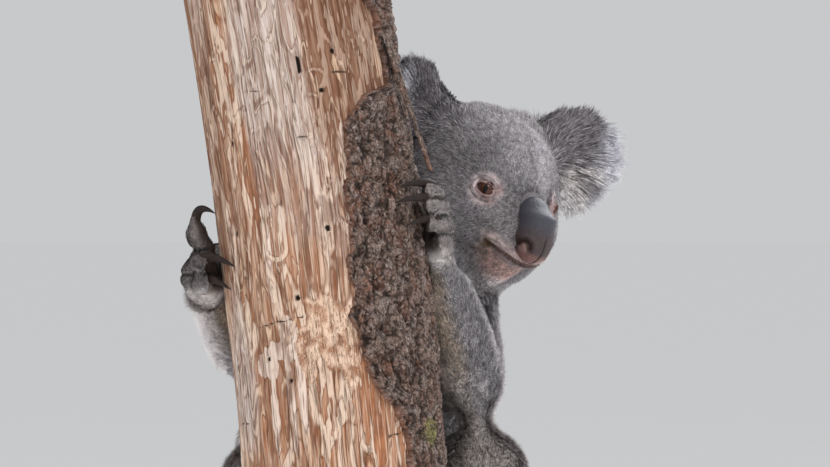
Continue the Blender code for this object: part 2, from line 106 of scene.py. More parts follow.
def operator(operation, swapped=False):
    """A Python operator that adds one Math node."""
    def act(self, other):
        return self.maths(operation, *((other, self) if swapped else (self, other)))
    return act


class Wire:
    """One value in a material's nodes. Python's operators add the Math nodes."""

    __add__ = operator("ADD")
    __radd__ = operator("ADD", True)
    __sub__ = operator("SUBTRACT")
    __rsub__ = operator("SUBTRACT", True)
    __mul__ = operator("MULTIPLY")
    __rmul__ = operator("MULTIPLY", True)

    def __init__(self, tree, socket):
        self.tree = tree
        self.socket = socket

    def maths(self, operation, *terms):
        node = self.tree.nodes.new("ShaderNodeMath")
        node.operation = operation
        for slot, term in zip(node.inputs, terms):
            connect(self.tree, slot, term)
        return Wire(self.tree, node.outputs[0])

    def sine(self):
        return self.maths("SINE", self)

    def size(self):
        return self.maths("ABSOLUTE", self)

    def above(self, low, high):
        """A soft step that rises from 0 at low to 1 at high."""
        node = self.tree.nodes.new("ShaderNodeMapRange")
        node.interpolation_type = "SMOOTHSTEP"
        connect(self.tree, node.inputs["Value"], self)
        node.inputs["From Min"].default_value = low
        node.inputs["From Max"].default_value = high
        return Wire(self.tree, node.outputs["Result"])


def socket_name(word):
    """The shader's own label for a socket written as a Python word."""
    return word.replace("_", " ").title().replace("Ior", "IOR")


class Finish:
    """A Principled material whose methods add the nodes that its pattern needs."""

    def __init__(self, name, **fixed):
        self.material = bpy.data.materials.new(name)
        self.material.use_nodes = True
        self.tree = self.material.node_tree
        self.shader = self.tree.nodes["Principled BSDF"]
        for socket, value in fixed.items():
            self.shader.inputs[socket_name(socket)].default_value = value

    def node(self, kind, settings, values, output):
        """Add one node: its settings first, then its sockets' values or links."""
        made = self.tree.nodes.new("ShaderNode" + kind)
        for setting, value in settings.items():
            setattr(made, setting, value)
        for socket, value in values.items():
            connect(self.tree, made.inputs[socket], value)
        return Wire(self.tree, made.outputs[output])

    def place(self, stretch=(1.0, 1.0, 1.0)):
        """The piece's own coordinates in metres, stretched along an axis if wanted."""
        return self.stretched(self.node("TexCoord", {}, {}, "Object"), stretch)

    def stretched(self, where, stretch):
        return self.node("Mapping", {}, {"Vector": where, "Scale": stretch}, "Vector")

    def noise(self, where, scale, detail=3.0, roughness=0.5, distortion=0.0):
        values = {"Vector": where, "Scale": scale, "Detail": detail,
                  "Roughness": roughness, "Distortion": distortion}
        return self.node("TexNoise", {}, values, "Fac")

    def cells(self, where, scale, feature="F1"):
        values = {"Vector": where, "Scale": scale}
        return self.node("TexVoronoi", {"feature": feature}, values, "Distance")

    def read(self, name, output="Fac"):
        return self.node("Attribute", {"attribute_name": name}, {}, output)

    def mix(self, share, first, second, way="MIX"):
        """Two colours mixed by a share from 0 to 1."""
        made = self.tree.nodes.new("ShaderNodeMix")
        made.data_type = "RGBA"
        made.blend_type = way
        made.clamp_factor = True
        connect(self.tree, made.inputs[0], share)
        for index, colour in ((6, first), (7, second)):
            opaque = (*colour, 1.0) if isinstance(colour, tuple) else colour
            connect(self.tree, made.inputs[index], opaque)
        return Wire(self.tree, made.outputs[2])

    def layers(self, colour, *coats):
        """A colour with others laid over it in turn, each by its share."""
        for share, over in coats:
            colour = self.mix(share, colour, over)
        return colour

    def bumps(self, height, depth, strength=1.0):
        """Relief of a height from 0 to 1, depth metres deep."""
        values = {"Height": height, "Distance": depth, "Strength": strength}
        normal = self.node("Bump", {}, values, "Normal")
        self.tree.links.new(normal.socket, self.shader.inputs["Normal"])

    def feed(self, **sockets):
        for socket, value in sockets.items():
            connect(self.tree, self.shader.inputs[socket_name(socket)], value)


def dress(piece, finish):
    piece.data.materials.clear()
    piece.data.materials.append(finish.material)


def new_mesh(name, bm):
    """A mesh of what a bmesh holds. The bmesh is done with."""
    mesh = bpy.data.meshes.new(name)
    bm.to_mesh(mesh)
    bm.free()
    return mesh


def add_piece(name, mesh, finish):
    """Put a finished mesh in the scene, as part of the still model."""
    piece = bpy.data.objects.new(name, mesh)
    bpy.context.scene.collection.objects.link(piece)
    dress(piece, finish)
    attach(piece, "root")
    return piece


FLOOR_SIZE = 600.0

studio_floor = Finish("studio_floor", roughness=1.0, specular_ior_level=0.0)
mottle = studio_floor.noise(studio_floor.place(), 3.0)
floor_colour = studio_floor.mix(mottle, (0.975, 0.975, 0.975), (0.99, 0.99, 0.99))
studio_floor.feed(base_color=floor_colour)
sheet = bmesh.new()
bmesh.ops.create_grid(sheet, x_segments=2, y_segments=2, size=FLOOR_SIZE / 2.0)
studio_ground = bpy.data.objects.new("studio_floor", new_mesh("studio_floor", sheet))
bpy.context.scene.collection.objects.link(studio_ground)
dress(studio_ground, studio_floor)


# ---------------------------------------------------------------------- the display stand
# A square board with dark satin lacquer, and two brushed steel rods that pass through
# turned collars into the end of the trunk.
BOARD_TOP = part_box("stand_base")[1].z

lacquer = Finish("dark_lacquer", roughness=0.4, coat_weight=0.35, coat_roughness=0.2)
sweep = lacquer.noise(lacquer.place((1.0, 9.0, 1.0)), 22.0, 5.0)
dust = lacquer.noise(lacquer.place(), 900.0, 2.0)
lacquer.feed(base_color=lacquer.mix(sweep, (0.020, 0.019, 0.020), (0.036, 0.034, 0.034)),
             roughness=0.30 + 0.16 * sweep + 0.08 * dust)
lacquer.bumps(dust, 0.00006, 0.5)
dress(cad["stand_base"], lacquer)

steel = Finish("brushed_steel", metallic=1.0, roughness=0.3)
brushing = steel.noise(steel.place((1.0, 1.0, 30.0)), 60.0, 4.0)
steel.feed(base_color=steel.mix(brushing, (0.50, 0.50, 0.51), (0.66, 0.66, 0.67)),
           roughness=0.24 + 0.2 * brushing)
steel.bumps(brushing, 0.00004, 0.4)
COLLAR_RADIUS = 15.0 * MM
COLLAR_HEIGHT = 7.0 * MM
COLLAR_BEVEL = 1.2 * MM
SHARP_RIM = math.radians(40.0)
for number in (1, 2):
    rod = "stand_rod_%d" % number
    dress(cad[rod], steel)
    low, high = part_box(rod)
    collar = bmesh.new()
    centre = (low + high) / 2.0
    centre.z = BOARD_TOP + COLLAR_HEIGHT / 2.0
    bmesh.ops.create_cone(collar, cap_ends=True, segments=64, radius1=COLLAR_RADIUS, radius2=COLLAR_RADIUS,
                          depth=COLLAR_HEIGHT, matrix=Matrix.Translation(centre))
    rims = [e for e in collar.edges if len(e.link_faces) == 2 and e.calc_face_angle(0.0) > 1.0]
    bmesh.ops.bevel(collar, geom=rims, offset=COLLAR_BEVEL, affect="EDGES", segments=3,
                    profile=0.5, material=-1)
    collar_mesh = new_mesh("stand_collar_%d" % number, collar)
    collar_mesh.shade_smooth()
    collar_mesh.set_sharp_from_angle(angle=SHARP_RIM)
    add_piece("stand_collar_%d" % number, collar_mesh, steel)


# ---------------------------------------------------------------------- the trunk
# A cut length of dead eucalypt. Most of its bark is gone, and the bare wood shows the
# meandering galleries of grubs, a silvered weathered streak, flight holes, sheets of
# pale wood and patches of crumbling sapwood. Both ends are saw cuts with growth rings.
TRUNK_COLUMNS = 250
TRUNK_ROWS = 350
FRONT_SHARE = 0.70            # the share of the columns that lies on the front
FRONT_DEGREES = 105.0         # how far round the front goes, on each side
DEGREE_ARC = 1.327            # one degree round the trunk, in millimetres
CUT_RINGS = 7                 # rings of faces on each sawn end
CUT_EDGE = math.radians(62.0)


def corners(mesh):
    """A mesh's vertex places in millimetres, one row each."""
    places = np.empty(len(mesh.vertices) * 3)
    mesh.vertices.foreach_get("co", places)
    return places.reshape(-1, 3) / MM


def set_corners(mesh, places):
    mesh.vertices.foreach_set("co", (places * MM).ravel())
    mesh.update()


trunk_corners = corners(cad["perch_trunk"].data)
TRUNK_LOW = trunk_corners[:, 2].min()
TRUNK_HIGH = trunk_corners[:, 2].max()
TRUNK_Y = (trunk_corners[:, 1].min() + trunk_corners[:, 1].max()) / 2.0
TRUNK_RADIUS = (trunk_corners[:, 1].max() - trunk_corners[:, 1].min()) / 2.0
outer_wood = trunk_corners[np.abs(trunk_corners[:, 1] - TRUNK_Y + TRUNK_RADIUS) < 0.5]
TRUNK_LEAN = np.polyfit(outer_wood[:, 2], outer_wood[:, 0], 2)


def trunk_x(height):
    return np.polyval(TRUNK_LEAN, height)


def off_trunk(places):
    """How far to the side and to the front of the trunk's axis places lie."""
    return places[:, 0] - trunk_x(places[:, 2]), TRUNK_Y - places[:, 1]


def round_trunk(degrees, height, reach):
    """Places at an angle from the trunk's front, towards +X, and a distance from its middle."""
    angle = np.radians(degrees)
    return np.stack([trunk_x(height) + reach * np.sin(angle),
                     TRUNK_Y - reach * np.cos(angle),
                     height + 0.0 * reach], axis=-1)


def step(value, low, high):
    share = np.clip((value - low) / (high - low), 0.0, 1.0)
    return share * share * (3.0 - 2.0 * share)


def value_noise(points, seed):
    """Smooth noise from 0 to 1 at each row of points, with one lattice cell per unit."""
    cell = np.floor(points).astype(np.int64)
    part = points - cell
    part = part * part * (3.0 - 2.0 * part)
    total = np.zeros(len(points))
    for corner in product((0, 1), repeat=3):
        x, y, z = (cell + np.array(corner)).T
        code = (x * 73856093) ^ (y * 19349663) ^ (z * 83492791) ^ (seed * 26544357)
        code = ((code ^ (code >> 13)) * 12741261) & 0xFFFFFFFF
        code = ((code ^ (code >> 15)) * 97531) & 0xFFFFFF
        share = np.where(corner, part, 1.0 - part).prod(axis=1)
        total += share * (code / 0xFFFFFF)
    return total


def rough_noise(points, seed, octaves=3, gain=0.5):
    """Several layers of value noise, each finer and weaker."""
    total = 0.0
    weight = 1.0
    whole = 0.0
    for layer in range(octaves):
        total = total + weight * value_noise(points * 2.0 ** layer + 17.3 * layer, seed + layer)
        whole += weight
        weight *= gain
    return total / whole


def store(mesh, name, values, kind="FLOAT", field="value"):
    """Keep one value for each vertex, for the material to read."""
    layer = mesh.attributes.new(name, kind, "POINT")
    layer.data.foreach_set(field, np.asarray(values, dtype=np.float32).ravel())


def store_colour(mesh, name, colours):
    opaque = np.concatenate([colours, np.ones((len(colours), 1))], axis=1)
    store(mesh, name, opaque, "FLOAT_COLOR", "color")


def store_place(mesh, name, places):
    store(mesh, name, places * MM, "FLOAT_VECTOR", "vector")


def bent_grid(name, columns, rows, shape):
    """A grid whose corners go where shape(across, up) says, both from 0 to 1."""
    bm = bmesh.new()
    bmesh.ops.create_grid(bm, x_segments=columns, y_segments=rows, size=0.5)
    mesh = new_mesh(name, bm)
    flat = corners(mesh) * MM + 0.5
    set_corners(mesh, shape(flat[:, 0], flat[:, 1]))
    return mesh


@contextmanager
def opened(mesh):
    """A mesh open for bmesh operators, and written back afterwards."""
    bm = bmesh.new()
    bm.from_mesh(mesh)
    yield bm
    bm.to_mesh(mesh)
    bm.free()


def clean(mesh, distance):
    """Join corners that meet, and smooth the faces."""
    with opened(mesh) as bm:
        bmesh.ops.remove_doubles(bm, verts=bm.verts, dist=distance)
    mesh.shade_smooth()


def trunk_degrees(across):
    """Angles round the trunk, closer together on the front than on the back."""
    side = np.abs(across * 2.0 - 1.0)
    front = side / FRONT_SHARE * FRONT_DEGREES
    back = FRONT_DEGREES + (side - FRONT_SHARE) / (1.0 - FRONT_SHARE) * (180.0 - FRONT_DEGREES)
    return np.sign(across - 0.5) * np.where(side < FRONT_SHARE, front, back)


HOLES = (                     # degrees from the front, height, radius, how much taller than wide
    (26.0, 738.0, 1.9, 1.0), (15.5, 708.0, 1.9, 1.0), (7.6, 604.0, 2.2, 1.0),
    (17.6, 579.5, 2.0, 1.0), (-14.8, 551.5, 2.0, 1.0), (4.0, 727.0, 1.7, 4.2),
    (-46.0, 668.0, 1.8, 1.0), (-38.0, 505.0, 1.5, 1.0), (-24.0, 489.0, 1.5, 1.0),
    (-52.0, 600.0, 1.6, 1.4), (-118.0, 640.0, 2.0, 1.0), (-140.0, 520.0, 2.2, 1.0),
    (-160.0, 700.0, 1.9, 1.0), (-100.0, 380.0, 2.2, 1.0), (-20.0, 330.0, 2.0, 1.0),
    (10.0, 240.0, 2.1, 1.0), (-66.0, 240.0, 1.8, 1.0))
PATCHES = (                   # crumbling sapwood: degrees, height, half width, half height
    (1.0, 528.0, 19.0, 30.0), (-12.0, 512.0, 11.0, 20.0), (12.0, 498.0, 8.0, 15.0),
    (-150.0, 430.0, 24.0, 40.0), (-60.0, 300.0, 18.0, 26.0))
PALE_SHEETS = (               # smooth pale wood just under the bark: as above
    (-38.0, 500.0, 12.0, 13.0), (-29.0, 511.0, 15.0, 9.0), (-23.0, 522.0, 9.0, 15.0),
    (-36.0, 468.0, 3.6, 34.0), (-25.0, 474.0, 3.6, 40.0), (-17.0, 478.0, 4.0, 44.0),
    (3.0, 655.0, 3.0, 36.0), (-30.0, 590.0, 4.0, 40.0), (-57.0, 560.0, 3.5, 60.0),
    (24.0, 640.0, 3.0, 44.0), (110.0, 420.0, 9.0, 90.0))
BENDS = (                     # arched galleries: degrees, height, the way they arch, radius,
    (-24.4, 589.0, -1.0, 8.6, 1.7, 618.0, 604.0),      # half width, heights where they fade
    (9.0, 700.0, 1.2, 6.0, 1.3, 668.0, 676.0), (13.0, 716.0, 1.0, 8.0, 1.2, 708.0, 712.0))
CRACKS = (                    # fine cracks across the grain: from degrees to degrees, height, rise
    (-31.0, -19.0, 708.0, 0.0), (-5.0, 7.0, 671.0, 3.5), (-44.0, -10.0, 529.0, 9.0),
    (22.0, 34.0, 722.0, 0.0), (-80.0, -60.0, 452.0, 4.0), (30.0, 42.0, 447.0, 2.0))


def oval(degrees, height, at, up, half_width, half_height):
    """How far places on the trunk lie from a spot's middle: 1 on the spot's edge."""
    return np.hypot((degrees - at) * DEGREE_ARC / half_width, (height - up) / half_height)


def wood_relief(degrees, height):
    """Height of the bare wood above its mean, in mm, and the masks of what lies on it."""
    ring = np.radians(degrees)
    barrel = np.stack([TRUNK_RADIUS * np.sin(ring), TRUNK_RADIUS * np.cos(ring), height], axis=-1)
    wander = value_noise(barrel / (11.0, 11.0, 26.0), 3) - 0.5
    drift = value_noise(barrel / (30.0, 30.0, 70.0), 4) - 0.5
    shifted = barrel + (np.stack([np.cos(ring), -np.sin(ring), 0.0 * ring], axis=-1)
                        * (5.0 * wander + 12.0 * drift)[:, None])
    wide = rough_noise(shifted / (9.0, 9.0, 95.0), 11, 2)
    narrow = rough_noise(shifted / (4.6, 4.6, 60.0), 12, 2)
    fibres = rough_noise(shifted / (2.2, 2.2, 40.0), 13, 2)
    gallery = step(1.0 - np.abs(wide - 0.5) * 13.0, 0.0, 0.8)
    gallery = np.maximum(gallery, 0.75 * step(1.0 - np.abs(narrow - 0.47) * 11.0, 0.0, 0.9))
    few = step(rough_noise(barrel / (26.0, 26.0, 60.0), 19, 2), 0.36, 0.55)
    gallery = gallery * (0.25 + 0.75 * few)
    edge = degrees + (value_noise(barrel / (12.0, 12.0, 60.0), 5) - 0.5) * 22.0
    streak = step(edge, -37.0, -27.0) * step(edge, 16.0, 4.0) * step(height, 600.0, 690.0)
    weathered = step(value_noise(barrel / (34.0, 34.0, 160.0), 6), 0.66, 0.86)
    weathered = weathered * (1.0 - 0.6 * step(height, 560.0, 640.0))
    back = 0.75 * step(180.0 - np.abs(degrees), 70.0, 30.0)
    silver = np.maximum.reduce([streak, weathered, back])
    for at, up, way, radius, half_width, start, full in BENDS:
        off = np.hypot((degrees - at) * DEGREE_ARC, np.maximum((height - up) * way, 0.0))
        bend = np.exp(-((off - radius) / half_width) ** 2) * step(height, start, full)
        gallery = np.maximum(gallery, bend)
    crumbs = rough_noise(barrel / (5.0, 5.0, 8.0), 14, 4, 0.6)
    patch, hole, pale = np.zeros((3, len(height)))
    for spot in PATCHES:
        ragged = 0.55 * (rough_noise(barrel / (8.0, 8.0, 12.0), 15, 3) - 0.5)
        patch = np.maximum(patch, step(oval(degrees, height, *spot) + 2.0 * ragged, 1.0, 0.82))
    for at, up, radius, tall in HOLES:
        reach = oval(degrees, height, at, up, 1.0, tall)
        hole = np.maximum(hole, step(reach, radius * 1.35, radius * 0.7))
    streaky = rough_noise(barrel / (5.0, 5.0, 40.0), 22, 3) - 0.5
    for spot in PALE_SHEETS:
        pale = np.maximum(pale, step(oval(degrees, height, *spot) + 1.3 * streaky, 0.95, 0.78))
    crack = np.zeros(len(height))
    for left, right, up, rise in CRACKS:
        share = (degrees - left) / (right - left)
        off = height - up - rise * share - 1.6 * (value_noise(barrel / 5.0, 16) - 0.5)
        inside = step(share, 0.0, 0.08) * step(share, 1.0, 0.92)
        crack = np.maximum(crack, inside * np.exp(-(off / 0.9) ** 2))
    sunk = step(rough_noise(shifted / (6.0, 6.0, 70.0), 17, 2), 0.30, 0.62)
    relief = 1.1 * (sunk - 0.5) + 0.9 * gallery + 0.7 * (fibres - 0.5) + 0.8 * (narrow - 0.5)
    relief = (relief + 0.8 * pale) * (1.0 - patch) + patch * (6.0 * (crumbs - 0.5) - 0.9)
    relief = relief - 3.2 * hole - 0.9 * crack
    dusky = step(height, 635.0, 695.0) * step(degrees, 0.0, 14.0)
    silver = silver * (1.0 - dusky)
    left_dusk = step(degrees, -42.0, -66.0) * step(height, 520.0, 620.0)
    masks = {"gallery": gallery * (1.0 - patch), "pale": pale * (1.0 - patch), "patch": patch,
             "silver": silver, "dusky": np.maximum(dusky, 0.75 * left_dusk), "crumbs": crumbs,
             "hole": np.maximum(hole, 0.8 * crack), "sunk": sunk}
    return relief, masks, barrel


def trunk_height(up):
    """Heights up the trunk, closer together where the animal holds it."""
    return np.interp(up, (0.0, 0.27, 0.95, 1.0), (TRUNK_LOW, 400.0, 790.0, TRUNK_HIGH))


def trunk_shape(across, up):
    degrees = trunk_degrees(across)
    height = trunk_height(up)
    relief = wood_relief(degrees, height)[0]
    ends = step(np.minimum(height - TRUNK_LOW, TRUNK_HIGH - height), 0.0, 2.0)
    return round_trunk(degrees, height, TRUNK_RADIUS - 0.3 + relief * ends - 0.8 * (1.0 - ends))


trunk_mesh = bent_grid("perch_wood", TRUNK_COLUMNS, TRUNK_ROWS, trunk_shape)
clean(trunk_mesh, 0.00002)
with opened(trunk_mesh) as bm:
    for end in (TRUNK_LOW, TRUNK_HIGH):
        rim = [e for e in bm.edges if e.is_boundary and abs(e.verts[0].co.z / MM - end) < 1.0]
        middle = Vector((trunk_x(end) * MM, TRUNK_Y * MM, end * MM))
        for ring in range(CUT_RINGS):
            made = bmesh.ops.extrude_edge_only(bm, edges=rim)["geom"]
            rim = [g for g in made if isinstance(g, bmesh.types.BMEdge) and g.is_boundary]
            keep = 1.0 - 1.0 / (CUT_RINGS - ring + 0.2)
            for vertex in {g for g in made if isinstance(g, bmesh.types.BMVert)}:
                vertex.co = middle + (vertex.co - middle) * keep
        bmesh.ops.edgeloop_fill(bm, edges=rim)
    bmesh.ops.recalc_face_normals(bm, faces=bm.faces)
trunk_mesh.shade_smooth()
trunk_mesh.set_sharp_from_angle(angle=CUT_EDGE)
places = corners(trunk_mesh)
off_x, off_y = off_trunk(places)
from_heart = np.hypot(off_x, off_y)
sawn = step(from_heart, TRUNK_RADIUS - 5.0, TRUNK_RADIUS - 7.0)
relief, masks, barrel = wood_relief(np.degrees(np.arctan2(off_x, off_y)), places[:, 2])
for name, mask in masks.items():
    store(trunk_mesh, name, mask * (1.0 - sawn))
store(trunk_mesh, "sawn", sawn)
store(trunk_mesh, "from_heart", from_heart * MM)
sway = 7.0 * (rough_noise(barrel / (24.0, 24.0, 60.0), 21, 2) - 0.5) * (1.0 - sawn)
sway = sway / np.maximum(from_heart, 1.0)
grain_places = np.stack([off_x + sway * off_y, off_y + sway * off_x, places[:, 2]], axis=-1)
store_place(trunk_mesh, "grain", grain_places)

wood = Finish("bare_wood", roughness=0.8, specular_ior_level=0.3)
grain = wood.read("grain", "Vector")


def drawn_out(scale):
    """The grain's coordinates, with a pattern on them drawn out along the trunk."""
    return wood.stretched(grain, (1.0, 1.0, scale))


blotch = wood.noise(grain, 30.0, 3.0, 0.6)
speck = wood.noise(grain, 1500.0, 2.0)
fleck = wood.noise(drawn_out(0.3), 460.0, 3.0, 0.65)
thread = wood.noise(drawn_out(0.04), 820.0, 3.0, 0.6)
strand = wood.noise(drawn_out(0.028), 270.0, 3.0, 0.6)
sheets = wood.noise(drawn_out(0.08), 55.0, 2.0, 0.5)
channels = (wood.noise(drawn_out(0.03), 90.0, 2.0, 0.5) * 20.0).sine()
tunnels = (wood.noise(drawn_out(0.17), 42.0, 2.0, 0.4, 1.2) * 24.0).sine()
ridge = channels.above(-0.35, 0.10)
rim = (channels + 0.36).size().above(0.26, 0.03) * thread.above(0.62, 0.42)
crest = (channels - 0.12).size().above(0.34, 0.04) * fleck.above(0.34, 0.50)
bored = blotch.above(0.42, 0.54)
tunnel = (tunnels - 0.55).size().above(0.34, 0.18) * bored
tunnel_edge = ((tunnels - 0.55).size() - 0.42).size().above(0.14, 0.03) * bored
crumb_tone = wood.read("crumbs").above(0.36, 0.60)
dusky, silver, patch = wood.read("dusky"), wood.read("silver"), wood.read("patch")
deep = wood.mix(blotch.above(0.38, 0.62), (0.215, 0.078, 0.034), (0.39, 0.155, 0.066))
bright = wood.mix(sheets.above(0.40, 0.60), (0.42, 0.205, 0.112), (0.60, 0.415, 0.300))
dusky_wood = wood.mix(strand.above(0.40, 0.60), (0.125, 0.053, 0.028), (0.26, 0.142, 0.090))
pale_sheet = wood.read("pale").above(0.35, 0.70)
pale_edge = wood.read("pale").above(0.08, 0.30) * (1.0 - pale_sheet)
bored_line = wood.read("gallery").above(0.30, 0.62) * (1.0 - 0.6 * dusky)
bored_edge = wood.read("gallery").above(0.06, 0.26) * (1.0 - bored_line)
grey_fibre = wood.mix(thread.above(0.40, 0.60), (0.41, 0.325, 0.285), (0.66, 0.585, 0.55))
silvered = wood.mix(strand.above(0.36, 0.56), (0.36, 0.255, 0.21), grey_fibre)
silvered = wood.mix(tunnel * 0.7, silvered, (0.68, 0.56, 0.47))
rotten = wood.layers(
    wood.mix(crumb_tone, (0.33, 0.145, 0.070), (0.78, 0.55, 0.40)),
    (speck.above(0.50, 0.66) * 0.6, (0.85, 0.72, 0.62)),
    (fleck.above(0.47, 0.36) * 0.55, (0.22, 0.092, 0.042)))
bare = wood.layers(
    wood.mix(strand.above(0.36, 0.60) * 0.65 + ridge * 0.35, deep, bright),
    (thread.above(0.50, 0.64) * 0.60, (0.65, 0.46, 0.355)),
    (crest * 0.60 * (1.0 - 0.7 * dusky), (0.69, 0.52, 0.41)),
    (wood.read("sunk").above(0.50, 0.10) * 0.55, (0.27, 0.105, 0.046)),
    (dusky * 0.88, dusky_wood),
    (pale_edge * 0.55, (0.20, 0.078, 0.040)),
    (pale_sheet * 0.92, wood.mix(strand, (0.64, 0.48, 0.385), (0.84, 0.72, 0.64))),
    (tunnel * 0.8, wood.mix(fleck, (0.58, 0.37, 0.24), (0.74, 0.55, 0.41))),
    (bored_edge * 0.60, (0.19, 0.075, 0.038)),
    (bored_line * 0.85, wood.mix(fleck, (0.66, 0.47, 0.35), (0.83, 0.68, 0.56))),
    (silver * (0.50 + 0.35 * fleck + 0.15 * ridge), silvered),
    (patch * 0.95, rotten),
    (rim * (0.55 - 0.45 * patch) * (1.0 - 0.5 * silver), (0.135, 0.052, 0.026)),
    (tunnel_edge * (0.55 - 0.55 * patch), (0.135, 0.052, 0.026)),
    (thread.above(0.46, 0.33) * 0.72, (0.15, 0.062, 0.033)),
    (wood.read("hole").above(0.25, 0.8), (0.022, 0.012, 0.008)))
rings = (wood.read("from_heart") * 1700.0 + 5.0 * blotch).sine()
cut_face = wood.mix(rings.above(-0.6, 0.9), (0.36, 0.22, 0.12), (0.58, 0.42, 0.27))
heartwood = wood.read("from_heart").above(0.045, 0.03) * 0.6
cut_face = wood.mix(heartwood, cut_face, (0.27, 0.13, 0.065))
wood.feed(base_color=wood.mix(wood.read("sawn"), bare, cut_face), roughness=0.72 + 0.2 * fleck)
relief_height = (0.25 * ridge + 0.45 * tunnel - 0.3 * rim + 0.45 * thread + 0.3 * strand
                 + 0.2 * fleck + 0.08 * speck)
wood.bumps(relief_height, 0.0022)
perch = add_piece("perch_wood", trunk_mesh, wood)
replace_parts(perch, "perch_trunk")


# ---------------------------------------------------------------------- the bark
# The old bark left on one side of the trunk: thick corky plates, dark grey-brown, split
# by upright fissures and torn along the front edge, with a little lichen low down.
BARK_COLUMNS = 168
BARK_ROWS = 290
BARK_LIFT = 5.4               # the plates' mean height above the bare wood
BARK_BACK = 150.0             # a row whose back edge lies short of this is part of a torn end
BARK_EDGE = 120.0             # the bark's width, in steps of its torn edge
BARK_SUNK = 2.5               # how far its edges are set into the wood

bark_corners = corners(cad["perch_bark"].data)
bark_angles = np.degrees(np.arctan2(*off_trunk(bark_corners)))
bark_rows = []
bark_front = []
bark_back = []
for height in np.unique(np.round(bark_corners[:, 2], 0)):
    level = bark_angles[np.abs(bark_corners[:, 2] - height) < 1.5]
    if level.max() > BARK_BACK:
        bark_rows.append(height)
        bark_front.append(level.min())
        bark_back.append(level.max())
BARK_LOW = bark_corners[:, 2].min()
BARK_HIGH = bark_corners[:, 2].max()


def bark_edges(height):
    """Torn front and back edges of the bark, in degrees, at a height."""
    line = np.stack([0.0 * height, 0.0 * height, height], axis=-1)
    ragged = 13.0 * (rough_noise(line / 15.0, 31, 4, 0.7) - 0.5)
    return (np.interp(height, bark_rows, bark_front) + ragged,
            np.interp(height, bark_rows, bark_back) + 2.0 * ragged)


def bark_relief(degrees, height):
    """Height of the bark above its mean, in mm, with masks of its fissures and crests."""
    ring = np.radians(degrees)
    barrel = np.stack([80.0 * np.sin(ring), 80.0 * np.cos(ring), height], axis=-1)
    push = np.stack([rough_noise(barrel / 11.0, seed, 2) for seed in (41, 42, 43)], axis=-1)
    bent = barrel + 9.0 * (push - 0.5)
    plates = rough_noise(bent / (9.0, 9.0, 17.0), 44, 2, 0.6)
    fissure = step(1.0 - np.abs(plates - 0.5) * 15.0, 0.1, 0.9)
    cross = rough_noise(bent / (12.0, 12.0, 8.0), 45, 2, 0.6)
    cross = step(1.0 - np.abs(cross - 0.5) * 20.0, 0.2, 0.9)
    lumps = rough_noise(bent / (4.2, 4.2, 5.6), 46, 3, 0.65)
    grit = rough_noise(bent / 1.8, 47, 2)
    relief = (6.0 * (plates - 0.45) - 2.6 * fissure - 1.6 * cross
              + 5.0 * (lumps - 0.5) + 1.4 * (grit - 0.5))
    return relief, np.maximum(fissure, 0.8 * cross), lumps, barrel


def bark_spread(across, up):
    height = BARK_LOW + up * (BARK_HIGH - BARK_LOW)
    front, back = bark_edges(height)
    return front + across * (back - front), height


def bark_shape(across, up):
    degrees, height = bark_spread(across, up)
    relief = bark_relief(degrees, height)[0]
    rise = step(np.minimum(across, 1.0 - across) * BARK_EDGE, 0.0, 2.2)
    rise = rise * step(np.minimum(height - BARK_LOW, BARK_HIGH - height), 0.0, 2.5)
    lift = np.maximum((BARK_SUNK + BARK_LIFT + relief) * rise, 0.0)
    return round_trunk(degrees, height, TRUNK_RADIUS - BARK_SUNK + lift)


bark_mesh = bent_grid("perch_bark_plates", BARK_COLUMNS, BARK_ROWS, bark_shape)
flat = bent_grid("bark_layout", BARK_COLUMNS, BARK_ROWS,
                 lambda across, up: np.stack([*bark_spread(across, up), across], axis=-1))
layout = corners(flat)
relief, fissure, lumps, barrel = bark_relief(layout[:, 0], layout[:, 1])
store(bark_mesh, "fissure", fissure)
store(bark_mesh, "lumps", lumps)
to_edge = np.minimum(layout[:, 2], 1.0 - layout[:, 2]) * BARK_EDGE
store(bark_mesh, "torn", step(to_edge, 3.0, 0.6))
LICHEN = (                    # degrees, height, half width, half height
    (62.0, 449.0, 13.0, 15.0), (96.0, 200.0, 30.0, 45.0), (128.0, 690.0, 24.0, 60.0))
lichen = np.min([np.hypot((layout[:, 0] - at) * 1.4 / wide, (layout[:, 1] - up) / tall)
                 for at, up, wide, tall in LICHEN], axis=0)
store(bark_mesh, "lichen", step(lichen + 0.9 * (lumps - 0.5), 1.0, 0.55))
store_place(bark_mesh, "grain", barrel)
bpy.data.meshes.remove(flat)
clean(bark_mesh, 0.00001)

